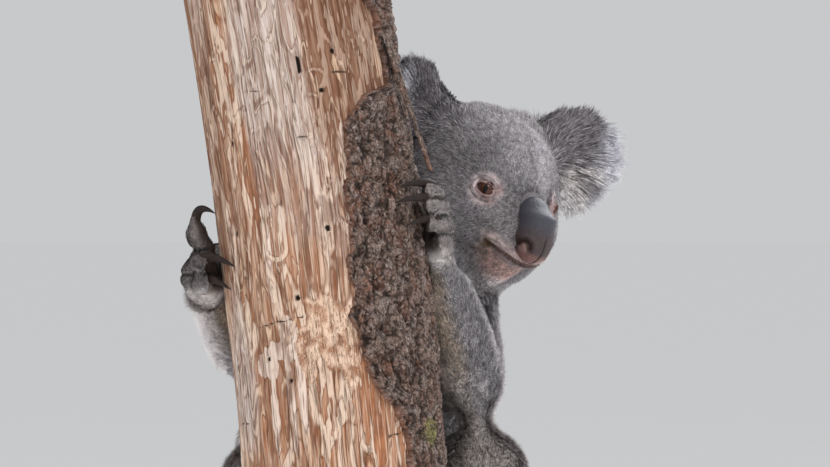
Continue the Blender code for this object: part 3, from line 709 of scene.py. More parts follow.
cork = Finish("bark_plates", roughness=0.92, specular_ior_level=0.25)
cork_grain = cork.read("grain", "Vector")
flake = cork.noise(cork_grain, 170.0, 5.0, 0.75, 0.8)
scurf = cork.noise(cork_grain, 480.0, 4.0, 0.7)
patchy = cork.noise(cork_grain, 48.0, 3.0, 0.6)
granules = cork.cells(cork_grain, 230.0)
upright = cork.stretched(cork_grain, (1.0, 1.0, 0.55))
seams = cork.cells(upright, 105.0, "DISTANCE_TO_EDGE").above(0.09, 0.01)
seams = seams * patchy.above(0.42, 0.54)
splits = cork.cells(upright, 260.0, "DISTANCE_TO_EDGE").above(0.09, 0.01)
splits = splits * scurf.above(0.40, 0.52)
crust = cork.layers(
    cork.mix(flake.above(0.38, 0.60), (0.056, 0.033, 0.026), (0.30, 0.205, 0.165)),
    (patchy.above(0.47, 0.66) * 0.7, (0.24, 0.105, 0.066)),
    (cork.read("lumps").above(0.50, 0.70) * 0.65, (0.37, 0.295, 0.27)),
    (scurf.above(0.54, 0.68) * 0.8, (0.52, 0.44, 0.41)),
    (scurf.above(0.47, 0.38) * 0.75, (0.024, 0.015, 0.012)),
    (splits * 0.35, (0.034, 0.022, 0.018)),
    (seams * 0.55, (0.018, 0.012, 0.010)),
    (cork.read("fissure").above(0.25, 0.9) * 0.8, (0.026, 0.017, 0.014)),
    (cork.read("torn") * 0.7 * flake.above(0.3, 0.6), (0.27, 0.110, 0.060)),
    (cork.read("lichen") * scurf.above(0.42, 0.56) * 0.8, (0.34, 0.33, 0.11)))
cork.feed(base_color=crust, roughness=0.85 + 0.1 * scurf)
cork.bumps(0.8 * flake + 0.8 * scurf - 0.4 * granules - 0.6 * seams - 0.3 * splits, 0.0034)
bark = add_piece("perch_bark_plates", bark_mesh, cork)
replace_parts(bark, "perch_bark")

# A splinter of bark that has sprung away beside the animal's ear.
SPLINTER_SIDES = 10
SPLINTER_RINGS = 46


def splinter_shape(across, up):
    turn = 2.0 * math.pi * across
    height = 752.0 - 104.0 * up
    thick = 0.25 + 1.6 * np.minimum(1.0, 5.0 * up) * (1.0 - 0.35 * up)
    rough = 0.8 + 0.5 * value_noise(np.stack([across * 5.0, up * 30.0, 0.0 * up], axis=-1), 52)
    degrees = 62.0 + 19.0 * up + np.degrees(5.4 * rough * np.sin(turn) / 84.0)
    return round_trunk(degrees, height, 84.5 + 10.5 * up ** 1.6 + thick * rough * np.cos(turn))


splinter = bent_grid("perch_bark_splinter", SPLINTER_SIDES, SPLINTER_RINGS, splinter_shape)
clean(splinter, 0.00002)
with opened(splinter) as bm:
    bmesh.ops.holes_fill(bm, edges=[e for e in bm.edges if e.is_boundary])
    bmesh.ops.recalc_face_normals(bm, faces=bm.faces)
splinter.shade_smooth()
splinter_corners = corners(splinter)
store(splinter, "lumps", rough_noise(splinter_corners / 4.0, 53, 2))
store(splinter, "torn", step(splinter_corners[:, 2], 668.0, 650.0))
store_place(splinter, "grain", splinter_corners)
add_piece("perch_bark_splinter", splinter, cork)


# ---------------------------------------------------------------------- the skin
# One skin over the whole animal: the parts of the body are joined and smoothed where
# they met, then drawn in by the depth of the coat that grows on it. It has the eye
# sockets, the bed of the nose, the line of the mouth and the thin rounded ear flaps.
FLESH = sorted(name for name in cad if not name.startswith(("perch", "stand", "claw", "eye", "nose")))
FILLERS = ["eye_left", "eye_right", "nose"]
SWELL = {"hand": 0.6, "foot": 0.6, "eye": 0.3, "nose": 0.5}
BODY_SWELL = 2.0
SKIN_VOXEL = 3.6
HEAD_TURN = math.radians(40.0)
HEAD_TILT = math.radians(16.0)
EYE_BACK = 5.7                # the eyes' centres, behind the middle of the head
EYE_APART = 32.9              # each eye's centre from the middle of the head
EYE_RADIUS = 8.8
EYE_OUTWARD = math.radians(46.0)
SIDES = {"left": 1.0, "right": -1.0}
FAR = 1e9


def box_centre(node):
    low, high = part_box(node)
    return np.array((low + high) / 2.0) / MM


head_axes = np.array(Matrix.Rotation(HEAD_TILT, 3, "Y") @ Matrix.Rotation(HEAD_TURN, 3, "Z"))
head_centre = ((box_centre("eye_left") + box_centre("eye_right")) / 2.0
               - head_axes @ np.array((0.0, EYE_BACK, 0.0)))


def to_head(places):
    """Places in the head's own frame: x to the animal's left, y backward, z to the crown."""
    return (places - head_centre) @ head_axes


def from_head(places):
    return np.asarray(places) @ head_axes.T + head_centre


def lengths(vectors):
    return np.linalg.norm(vectors, axis=1)


def unit(vectors):
    return vectors / np.maximum(np.linalg.norm(vectors, axis=-1, keepdims=True), 1e-9)


def eye_axes(side):
    """An eye's centre in the head's frame, and its directions to the nose, up and outward."""
    sign = SIDES[side]
    centre = np.array((sign * EYE_APART, EYE_BACK, 0.0))
    out = np.array((sign * math.sin(EYE_OUTWARD), -math.cos(EYE_OUTWARD), 0.0))
    inward = np.array((-sign * math.cos(EYE_OUTWARD), -math.sin(EYE_OUTWARD), 0.0))
    return centre, np.stack([inward, np.array((0.0, 0.0, 1.0)), out], axis=1)


def remeshed(mesh, voxel):
    """The outer surface of a mesh, as even faces one voxel wide."""
    body = bpy.data.objects.new("remesh_work", mesh)
    bpy.context.scene.collection.objects.link(body)
    remesh = body.modifiers.new("remesh", "REMESH")
    remesh.mode = "VOXEL"
    remesh.voxel_size = voxel * MM
    finished = body.evaluated_get(bpy.context.evaluated_depsgraph_get())
    made = bpy.data.meshes.new_from_object(finished)
    bpy.data.objects.remove(body)
    bpy.data.meshes.remove(mesh)
    return made


def swollen(names, name):
    """The named CAD solids as one mesh, each a little swollen so that they meet."""
    whole = bmesh.new()
    for node in names:
        piece = bmesh.new()
        piece.from_mesh(cad[node].data)
        bmesh.ops.remove_doubles(piece, verts=piece.verts, dist=0.00005)
        piece.normal_update()
        swell = SWELL.get(node.split("_")[0], BODY_SWELL) * MM
        for vertex in piece.verts:
            vertex.co += vertex.normal * swell
        part = new_mesh("part", piece)
        whole.from_mesh(part)
        bpy.data.meshes.remove(part)
    return new_mesh(name, whole)


def keep_largest(mesh):
    """Drop all but the largest connected shell."""
    with opened(mesh) as bm:
        unseen = set(bm.verts)
        shells = []
        while unseen:
            front = [unseen.pop()]
            shell = list(front)
            while front:
                for edge in front.pop().link_edges:
                    fresh = [vertex for vertex in edge.verts if vertex in unseen]
                    unseen.difference_update(fresh)
                    front += fresh
                    shell += fresh
            shells.append(shell)
        for shell in sorted(shells, key=len)[:-1]:
            bmesh.ops.delete(bm, geom=shell, context="VERTS")


def links_of(mesh):
    links = np.empty(len(mesh.edges) * 2, dtype=np.int64)
    mesh.edges.foreach_get("vertices", links)
    return links.reshape(-1, 2)


def spread(values, links):
    """The mean of each corner's neighbours."""
    count = len(values)
    first, second = links.T
    shares = np.bincount(first, minlength=count) + np.bincount(second, minlength=count)
    sums = [np.bincount(first, column[second], count) + np.bincount(second, column[first], count)
            for column in values.T]
    return np.stack(sums, axis=1) / np.maximum(shares, 1)[:, None]


def soften(values, links, rounds, share=0.6):
    """Smooth rows of values over the surface; share may differ from corner to corner."""
    share = np.broadcast_to(share, (len(values),))[:, None]
    for _ in range(rounds):
        values = values + share * (spread(values, links) - values)
    return values


def outward(mesh):
    normals = np.empty(len(mesh.vertices) * 3)
    mesh.vertex_normals.foreach_get("vector", normals)
    return normals.reshape(-1, 3)


part_corners = []
part_faces = []
part_names = []
for node in FLESH:
    shape = cad[node].data
    shape.calc_loop_triangles()
    first = sum(len(block) for block in part_corners)
    part_corners.append(corners(shape))
    part_faces += [[first + index for index in face.vertices] for face in shape.loop_triangles]
    part_names += [node] * len(shape.loop_triangles)
part_tree = BVHTree.FromPolygons(np.concatenate(part_corners).tolist(), part_faces)
PARTS = {node: index for index, node in enumerate(FLESH)}


def part_shares(places, links, rounds):
    """How much of each body part a corner belongs to, blended over the joints."""
    shares = np.zeros((len(places), len(FLESH)))
    owners = [PARTS[part_names[part_tree.find_nearest(place)[2]]] for place in places.tolist()]
    shares[np.arange(len(places)), owners] = 1.0
    shares = soften(shares, links, rounds)
    return {node: shares[:, index] for node, index in PARTS.items()}


def share_of(shares, *starts):
    return sum(share for node, share in shares.items() if node.startswith(starts))


# Each digit's knuckle, middle joint and tip as degrees round the trunk, height and
# distance off its surface, then its claw's tip. The left side holds bark, the right wood.
HELD = {"left": 81.4, "right": TRUNK_RADIUS}
DIGITS = {
    ("hand", "left"): (
        ((103, 592, 14), (116, 596, 12), (126, 598, 9), (138, 600, 1)),
        ((102, 606, 14), (115, 613, 12), (125, 616, 9), (137, 618, 1)),
        ((93, 615, 14), (84, 631, 14), (74, 632, 12), (54.5, 635, 1)),
        ((92, 604, 15), (83, 620, 16), (73, 621, 12), (49.5, 623, 1)),
        ((91, 590, 13), (82, 604, 15), (73, 605, 12), (57, 606, 1))),
    ("hand", "right"): (
        ((104, 562, 17), (117, 567, 14), (127, 569, 10), (139, 571, 1)),
        ((103, 576, 17), (116, 584, 14), (126, 587, 10), (138, 590, 1)),
        ((90, 586, 13), (91, 599, 17), (89, 608, 15), (79, 615, 1)),
        ((88, 572, 13), (81, 578, 18), (72, 575, 14), (56, 574, 1)),
        ((89, 557, 14), (82, 561, 18), (75, 559, 13), (66, 557, 1)))}
TOES = (
    ((84, 276, 14), (74, 289, 13), (66, 294, 10), (57, 297, 1)),
    ((83, 270, 15), (73, 281, 13), (65, 285, 10), (56, 287, 1)),
    ((82, 262, 15), (69, 270, 14), (59, 272, 11), (46, 271, 1)),
    ((82, 252, 15), (71, 256, 14), (62, 256, 11), (50, 254, 1)),
    ((90, 246, 13), (88, 232, 12), (86, 220, 9), None))
ROOTS = {                     # wrist or ankle with its radius, then the palm or ball
    ("hand", "left"): ((36.0, -54.0, 574.0), 14.0, (95, 596, 9)),
    ("hand", "right"): ((-132.0, -44.0, 548.0), 18.0, (96, 567, 19))}
DIGIT_RADII = (8.6, 7.0, 5.9)
DIGIT_JOIN = 1.5


def held_place(side, spot):
    angle, height, off = spot
    return round_trunk(SIDES[side] * angle, height, HELD[side] + off)


limb_chains = {}
for side in SIDES:
    DIGITS["foot", side] = TOES
    ROOTS["foot", side] = (held_place(side, (101, 268, 27)), 21.0, (88, 260, 15))
for (limb, side), digits in DIGITS.items():
    wrist, radius, palm = ROOTS[limb, side]
    palm = held_place(side, palm)
    palm_radius = 14.5 if (limb, side) != ("hand", "left") else 12.0
    chains = [[(np.array(wrist), radius), (palm, palm_radius)]]
    if limb == "foot":
        heel = held_place(side, (106, 240, 19))
        chains.append([(np.array(wrist), radius), (heel, 17.0), (palm, palm_radius)])
    for joints in digits:
        digit = [(held_place(side, joint), thick) for joint, thick in zip(joints, DIGIT_RADII)]
        chains.append([(palm, palm_radius - 3.0)] + digit)
    limb_chains["%s_%s" % (limb, side)] = chains


def along_line(places, start, end):
    """How far along a line each place lies, from 0 to 1, and its offset from the line there."""
    along = end - start
    share = np.clip(((places - start) @ along) / (along @ along), 0.0, 1.0)
    return share, places - (start + share[:, None] * along)


def digit_field(chains, places):
    """Distance from the rounded form of a hand or foot, and the way out from it."""
    total = np.zeros(len(places))
    way = np.zeros((len(places), 3))
    for chain in chains:
        for (start, radius), (end, end_radius) in zip(chain[:-1], chain[1:]):
            share, off = along_line(places, start, end)
            far = np.maximum(lengths(off), 0.01)
            inside = radius + share * (end_radius - radius) - far
            weight = np.exp(np.minimum(inside / DIGIT_JOIN, 60.0))
            total += weight
            way += (weight / far)[:, None] * off
    return -DIGIT_JOIN * np.log(np.maximum(total, 1e-30)), unit(way)


skin_mesh = remeshed(swollen(FLESH + FILLERS, "skin"), SKIN_VOXEL)
keep_largest(skin_mesh)
places = corners(skin_mesh)
links = links_of(skin_mesh)
shares = part_shares(places, links, 6)
fine = share_of(shares, "hand", "foot")
broad = share_of(shares, "torso", "neck", "thigh", "shin", "upper", "forearm")
places = soften(places, links, 5, 0.6 - 0.35 * fine)
places = soften(places, links, 30, 0.6 * broad)
places = soften(places, links, 8, 0.5 * share_of(shares, "head", "ear"))
set_corners(skin_mesh, places)

MOUTH = np.array((            # the mouth's line on the right side, from its corner to the middle
    (-31.5, -10.5, -38.8), (-26.5, -17.0, -41.0), (-20.0, -21.8, -44.2), (-13.0, -25.0, -46.8),
    (-6.5, -27.0, -48.4), (0.0, -28.0, -49.0)))
mouth_line = np.concatenate([MOUTH, (MOUTH * (-1.0, 1.0, 1.0))[-2::-1]])


def path_distance(path, local):
    """Distance from a bent line, the share along it there, and the height above it."""
    nearest = np.full(len(local), FAR)
    share_along, above = np.zeros((2, len(local)))
    for index, (start, end) in enumerate(zip(path[:-1], path[1:])):
        share, off = along_line(local, start, end)
        distance = lengths(off)
        closer = distance < nearest
        share_along = np.where(closer, (index + share) / (len(path) - 1), share_along)
        above = np.where(closer, off[:, 2], above)
        nearest = np.minimum(nearest, distance)
    return nearest, share_along, above


def mouth_distance(local):
    """Distance from the mouth's line, and height above it, for places in the head's frame."""
    return path_distance(mouth_line, local)[::2]


def eye_distance(local):
    """Distance from the nearer eye's front, for places in the head's frame."""
    fronts = [centre + axes[:, 2] * EYE_RADIUS for centre, axes in map(eye_axes, SIDES)]
    return np.minimum(*(lengths(local - front) for front in fronts))


NOSE_MIDDLE = np.array((0.0, -25.0, -17.0))
NOSE_TALLER = (1.0, 1.0, 1.45)
NOSE_REACH = 20.0
FACE_BACK = 32.0              # the face is finer as far back as this,
FACE_REACH = 95.0             # and as far as this from the head's middle,
DIGITS_REACH = 9.0            # and so are the digits; then the rims of the eyes,
EYES_REACH = 17.0             # the mouth and the nose are finer once more
MOUTH_REACH = 9.0
with opened(skin_mesh) as bm:
    for finer in (False, True):
        local = to_head(np.array([vertex.co for vertex in bm.verts]) / MM)
        if finer:
            wanted = (eye_distance(local) < EYES_REACH) | (mouth_distance(local)[0] < MOUTH_REACH)
            from_middle = lengths((local - NOSE_MIDDLE) / NOSE_TALLER)
            wanted |= np.abs(from_middle - NOSE_REACH) < 5.0
        else:
            wanted = (local[:, 1] < FACE_BACK) & (lengths(local) < FACE_REACH)
            standing = from_head(local)
            for chains in limb_chains.values():
                wanted |= digit_field(chains[1:], standing)[0] < DIGITS_REACH
        inside = [e for e in bm.edges if wanted[e.verts[0].index] and wanted[e.verts[1].index]]
        bmesh.ops.subdivide_edges(bm, edges=inside, cuts=1, use_grid_fill=True)
        bm.verts.index_update()
    bmesh.ops.triangulate(bm, faces=[face for face in bm.faces if len(face.verts) > 4])
places = corners(skin_mesh)
links = links_of(skin_mesh)
local = to_head(places)
shares = part_shares(places, links, 9)
places = soften(places, links, 4, 0.6 * share_of(shares, "head"))
set_corners(skin_mesh, places)

# How deep the coat is, how long its hair, how wide a tuft, and how many to a square
# centimetre on each part of the body.
COAT = {
    "head": (4.6, 7.5, 0.48, 420.0),
    "neck": (7.0, 13.0, 0.70, 130.0),
    "torso": (6.0, 12.5, 0.62, 150.0),
    "ear": (3.0, 9.0, 0.6, 190.0),
    "upper": (4.4, 9.5, 0.50, 330.0),
    "forearm": (3.8, 8.5, 0.48, 430.0),
    "hand": (1.2, 2.9, 0.36, 420.0),
    "thigh": (5.2, 10.5, 0.56, 190.0),
    "shin": (4.4, 9.5, 0.54, 210.0),
    "foot": (1.7, 4.2, 0.45, 200.0),
}
kinds = np.array([COAT[node.split("_")[0]] for node in FLESH])
coat = sum(shares[node][:, None] * kinds[index] for node, index in PARTS.items())


def face_share(local):
    """1 on the front of the face, falling to 0 over the crown, cheeks and throat."""
    return step(local[:, 1] + 0.25 * np.abs(local[:, 2] - 5.0), 62.0, 14.0)


def shaped_by(share, values, new):
    return values + share * (new - values)


def tree_of(mesh, places):
    """A mesh's triangles, ready to be searched, with its corners at the given places."""
    mesh.calc_loop_triangles()
    return BVHTree.FromPolygons(places.tolist(), [list(face.vertices) for face in mesh.loop_triangles])


nose_tree = tree_of(cad["nose"].data, corners(cad["nose"].data))


FOLD_FLAT = np.array((0.12, 0.15, 1.0))
FOLD_WIDTH = 1.8
FOLD_DEPTH = 3.2
FOLDS = (                     # the creases between the digits of the hands
    ("left", ((64, 628, 6), (80, 627, 15), (94, 624, 19))),
    ("left", ((64, 613.5, 6), (80, 613, 15), (96, 612, 19))),
    ("left", ((64, 599, 6), (74, 599, 12), (84, 599, 16))),
    ("right", ((60, 589, 6), (80, 588, 17), (92, 587, 24))),
    ("right", ((60, 568, 6), (80, 569, 17), (92, 568, 24))))


def fold_distance(places):
    """Distance from the nearest crease between two digits, whatever the depth below it."""
    nearest = np.full(len(places), FAR)
    for side, spots in FOLDS:
        path = np.array([held_place(side, spot) for spot in spots])
        nearest = np.minimum(nearest, path_distance(path * FOLD_FLAT, places * FOLD_FLAT)[0])
    return nearest


def nose_distance(places, local):
    far = np.full(len(places), 50.0)
    near = np.flatnonzero(lengths(local - NOSE_MIDDLE) < 48.0)
    far[near] = [nose_tree.find_nearest(place)[3] for place in places[near].tolist()]
    return far


on_head = share_of(shares, "head")
face = on_head * face_share(local)
from_eye = eye_distance(local)
from_nose = nose_distance(places, local)
near_eye = on_head * step(from_eye, 21.0, 8.5)
near_nose = on_head * step(from_nose, 12.0, 1.0)
lips = on_head * step(mouth_distance(local)[0], 9.0, 1.5)
for share, wanted in ((face, (3.2, 4.8, 0.40, 1050.0)), (near_eye, (1.1, 2.2, 0.30, 1700.0)),
                      (near_nose, (2.4, 4.0, 0.42)), (lips, (1.8, 3.0, 0.4))):
    for column, value in enumerate(wanted):
        coat[:, column] = shaped_by(share, coat[:, column], value)
depth, length, width, crowd = coat.T.copy()

normals = unit(soften(outward(skin_mesh), links, 4))
swell = share_of(shares, "hand", "foot") * (SWELL["hand"] - BODY_SWELL) + BODY_SWELL
places = places - normals * (depth + swell)[:, None]

# The ear flaps are made smaller and thinner, and the left one narrower on its inner side.
EAR_SHRINK = 0.74
EAR_THIN = 0.75
EAR_NARROW = 0.30
ear_frames = {}
for side, sign in SIDES.items():
    ear = "ear_" + side
    cloud = to_head(corners(cad[ear].data))
    middle = cloud.mean(axis=0)
    flat_axis = np.linalg.svd(cloud - middle, full_matrices=False)[2][2]
    forward = flat_axis * -np.sign(flat_axis[1])
    sideways = np.array((sign, 0.0, 0.0))
    sideways = unit(sideways - forward * (sideways @ forward))
    upward = np.cross(forward, sideways) * sign
    rim = np.abs((cloud - middle) @ np.stack([sideways, upward], axis=1)).max(axis=0)
    ear_frames[side] = (middle, np.stack([sideways, upward, forward], axis=1), rim)
    here = step(shares[ear], 0.25, 0.85)
    anchor = middle - sideways * 16.0 + upward * 12.0
    offset = to_head(places) - anchor
    along = offset @ forward
    flat = offset - along[:, None] * forward
    drawn = anchor + EAR_SHRINK * flat + EAR_THIN * along[:, None] * forward
    if side == "left":
        drawn = drawn + EAR_NARROW * np.minimum(flat @ sideways, 0.0)[:, None] * sideways
    places = places + here[:, None] * (from_head(drawn) - places)

# The hands and feet are drawn onto the rounded forms of their digits, with creases between.
for node, chains in limb_chains.items():
    mine = np.flatnonzero(shares[node] > 0.3)
    held = step(shares[node][mine], 0.35, 0.85)[:, None]
    for _ in range(6):
        distance, way = digit_field(chains, places[mine])
        places[mine] -= 0.7 * held * np.clip(distance, -6.0, 6.0)[:, None] * way
places = soften(places, links, 2, 0.35 * share_of(shares, "hand", "foot"))
set_corners(skin_mesh, places)
in_fold = share_of(shares, "hand") * np.exp(-(fold_distance(places) / FOLD_WIDTH) ** 2)
places = places - FOLD_DEPTH * in_fold[:, None] * outward(skin_mesh)
WRIST_DRAW = 9.0              # the left wrist is drawn in towards the trunk
wrist = shares["forearm_left"] * step(places[:, 2], 556.0, 584.0)
places[:, 0] -= WRIST_DRAW * wrist * step(places[:, 0], 24.0, 54.0)

# The jaw is narrowed and set back, and the skin is pushed in where the eyes sit.
JAW_NARROW = np.array((0.22, 0.0, 0.0))
JAW_BACK = np.array((0.0, 8.5, 0.0))
SOCKET_FLOOR = 1.5
local = to_head(places)
jaw = on_head * step(-mouth_distance(local)[1], 0.0, 5.0) * step(local[:, 1], 25.0, -5.0)
local = local * (1.0 - jaw[:, None] * JAW_NARROW) + jaw[:, None] * JAW_BACK
for side in SIDES:
    centre, axes = eye_axes(side)
    seen = (local - centre) @ axes
    round_eye = np.hypot(seen[:, 0], seen[:, 1])
    inside = step(round_eye, 9.6, 6.8) * (seen[:, 2] > -4.0) * on_head
    sunk = seen.copy()
    sunk[:, 2] = np.minimum(seen[:, 2], SOCKET_FLOOR)
    local = local + inside[:, None] * ((sunk - seen) @ axes.T)
places = from_head(local)

# The bed of the nose is sunk, and two lips stand beside the groove of the mouth.
BED_DEPTH = 2.6
MOUTH_DEPTH = 2.8
LOWER_LIP = 1.5
UPPER_LIP = 1.0
normals = unit(soften(normals, links, 2))
bed = on_head * step(from_nose, 2.2, -0.5)
places = places - normals * (BED_DEPTH * bed)[:, None]
from_mouth, above_mouth = mouth_distance(to_head(places))
groove = on_head * np.exp(-(from_mouth / 1.6) ** 2) * MOUTH_DEPTH
lower_lip = on_head * np.exp(-((from_mouth - 4.2) / 2.4) ** 2) * (above_mouth < 0.0) * LOWER_LIP
upper_lip = on_head * np.exp(-((from_mouth - 3.6) / 2.2) ** 2) * (above_mouth > 0.0) * UPPER_LIP
places = places + normals * (lower_lip + upper_lip - groove)[:, None]
set_corners(skin_mesh, places)
places = soften(places, links, 2, 0.5 * on_head * (1.0 - near_eye))
set_corners(skin_mesh, places)
normals = outward(skin_mesh)
local = to_head(places)
hide = Finish("skin", roughness=0.7)
skin = add_piece("skin", skin_mesh, hide)
skin_mesh.shade_smooth()
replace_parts(skin, *FLESH)


# ---------------------------------------------------------------------- the eyelids
# Thin bare lids that follow the eyeball round an almond opening with a pointed inner
# corner, and run out into the skin of the face. They are part of the one skin.
OPEN_WIDTH = 6.3
OPEN_TOP = 3.6
OPEN_FOOT = 3.2
OPEN_SHIFT = -0.9             # the opening lies a little outward of the eye's middle
LID_COLUMNS = 72
LID_ROWS = (                  # distance from the opening, height above the eyeball or the skin
    (-0.8, -0.3), (-0.35, 0.25), (0.1, 0.62), (0.7, 0.85), (1.5, 0.9), (2.4, 0.9),
    (3.4, 0.9), (4.6, 0.9), (5.9, 0.7), (7.2, -1.4))
SOCKET_EDGE = 10.6


def almond(angles):
    """The opening's outline in an eye's own frame, and the way out from it."""
    tall = np.where(np.sin(angles) > 0.0, OPEN_TOP, OPEN_FOOT)
    across = OPEN_WIDTH * np.cos(angles) + OPEN_SHIFT
    up = tall * np.sin(angles) * np.abs(np.sin(angles)) ** 0.18 - 1.5 * np.cos(angles)
    outline = np.stack([across, up], axis=1)
    ahead = np.roll(outline, -1, axis=0) - np.roll(outline, 1, axis=0)
    return outline, unit(np.stack([ahead[:, 1], -ahead[:, 0]], axis=1))


face_tree = tree_of(skin_mesh, local)
angles = np.linspace(0.0, 2.0 * math.pi, LID_COLUMNS, endpoint=False)
lid_corners = []
lid_margin = []
lid_faces = []
for side in SIDES:
    centre, axes = eye_axes(side)
    outline, outward_way = almond(angles)
    base = len(places) + len(lid_corners)
    for number, (reach, height) in enumerate(LID_ROWS):
        for spot, way in zip(outline, outward_way):
            nasal = step(spot[0], 1.0, 6.0)
            stands = height * (1.0 - 0.6 * nasal)
            flat = spot + way * reach
            ring = np.hypot(*flat)
            probe = flat * max(1.0, SOCKET_EDGE / ring)
            start = centre + axes @ np.array((probe[0], probe[1], 30.0))
            met = face_tree.ray_cast(Vector(start), Vector(-axes[:, 2]))[0]
            ground = (np.array(met) - centre) @ axes[:, 2] if met else 4.0
            ball = math.sqrt(max((EYE_RADIUS + stands) ** 2 - ring ** 2, 0.0))
            share = step(reach, 0.6, 5.0)
            lift_off = ball + share * (ground + stands - ball)
            lid_corners.append(centre + axes @ np.array((flat[0], flat[1], lift_off)))
            lid_margin.append(reach)
        if number:
            row = base + (number - 1) * LID_COLUMNS
            for column in range(LID_COLUMNS):
                after = (column + 1) % LID_COLUMNS
                patch = (row + column, row + after,
                         row + LID_COLUMNS + after, row + LID_COLUMNS + column)
                lid_faces.append(patch[::-1] if side == "left" else patch)
with opened(skin_mesh) as bm:
    for place in from_head(np.array(lid_corners)) * MM:
        bm.verts.new(place)
    bm.verts.ensure_lookup_table()
    for patch in lid_faces:
        bm.faces.new([bm.verts[index] for index in patch])
skin_mesh.shade_smooth()

first_lid = len(places)
places = corners(skin_mesh)
local = to_head(places)
links = links_of(skin_mesh)
normals = outward(skin_mesh)
lids = np.zeros(len(places))
lids[first_lid:] = 1.0
margin = np.full(len(places), 20.0)
margin[first_lid:] = lid_margin


def with_lids(values, filler):
    return np.concatenate([values, np.full(len(lid_margin), filler)])


shares = {node: with_lids(share, float(node == "head")) for node, share in shares.items()}
depth = with_lids(depth, 1.0)
length = with_lids(length, 2.2)
width = with_lids(width, 0.30)
crowd = with_lids(crowd, 1700.0)
on_head = share_of(shares, "head")
face = with_lids(face, 1.0)
from_eye = eye_distance(local)
from_nose = with_lids(from_nose, 20.0)


# ---------------------------------------------------------------------- the markings
# Ash-grey fur, darker on the temples and the upper ears, with a pink chin, a white chest
# and forearms, a pale pinkish ring round each eye and long silver fringes on the ears.
# Each corner of the skin and each root of a tuft keeps its own colour.
# Part of it is painted light: painted shade in the hand creases, at the mouth's corners, on the near side
# of the back of the head and at the base of the near ear; painted light on the brow, the left arm's rim
# and elbow and the left knuckles.
GREY = np.array((0.222, 0.205, 0.220))
DARK = np.array((0.078, 0.069, 0.077))
SILVER = np.array((0.56, 0.54, 0.57))
WHITE = np.array((0.80, 0.775, 0.78))
CREAM = np.array((0.66, 0.58, 0.50))
FAWN = np.array((0.27, 0.20, 0.155))
MOUTH_CORNER_SHADE = np.array((0.16, 0.12, 0.05))
LIP_PINK = (0.76, 0.61, 0.57)
CHIN_PINK = (0.56, 0.36, 0.32)
EYE_RING = (0.66, 0.56, 0.57)
EYE_PINK = (0.60, 0.42, 0.40)
CORNER_PINK = (0.64, 0.40, 0.38)
LID_PINK = (0.62, 0.43, 0.41)
LID_EDGE = (0.050, 0.028, 0.026)
MOUTH_DARK = (0.075, 0.026, 0.013)
EAR_SILVER = (0.62, 0.62, 0.67)
ARM_CREAM = (0.64, 0.51, 0.385)
ARM_WHITE = (0.98, 0.96, 0.96)
ARM_SHADE = (0.58, 0.45, 0.335)
PALM = (0.055, 0.042, 0.038)
HAND_BROWN = (0.095, 0.072, 0.066)
FOLD_SHADE = (0.016, 0.013, 0.013)
DUSK_FROM = {"left": (-0.30, 0.05), "right": (-0.75, -0.40)}    # where an ear's dark part starts
CHEEK_FOLD = np.array(((-29.5, -11.5, -38.6), (-24.6, -2.5, -45.0), (-21.5, -2.0, -51.0)))


def tint(colours, share, colour):
    share = np.clip(share, 0.0, 1.0)[:, None]
    return colours + share * (colour - colours)


def painted(colours, where, *layers):
    """Colours laid in turn over one part of the body, each by its own share."""
    for share, colour in layers:
        colours = tint(colours, where * share, colour)
    return colours


def ear_plane(side, local):
    """Places in an ear's own frame, with the rim of the whole ear about 1 from its middle."""
    middle, axes, rim = ear_frames[side]
    seen = (local - middle) @ axes
    return seen[:, 0] / rim[0], seen[:, 1] / rim[1], seen[:, 2]


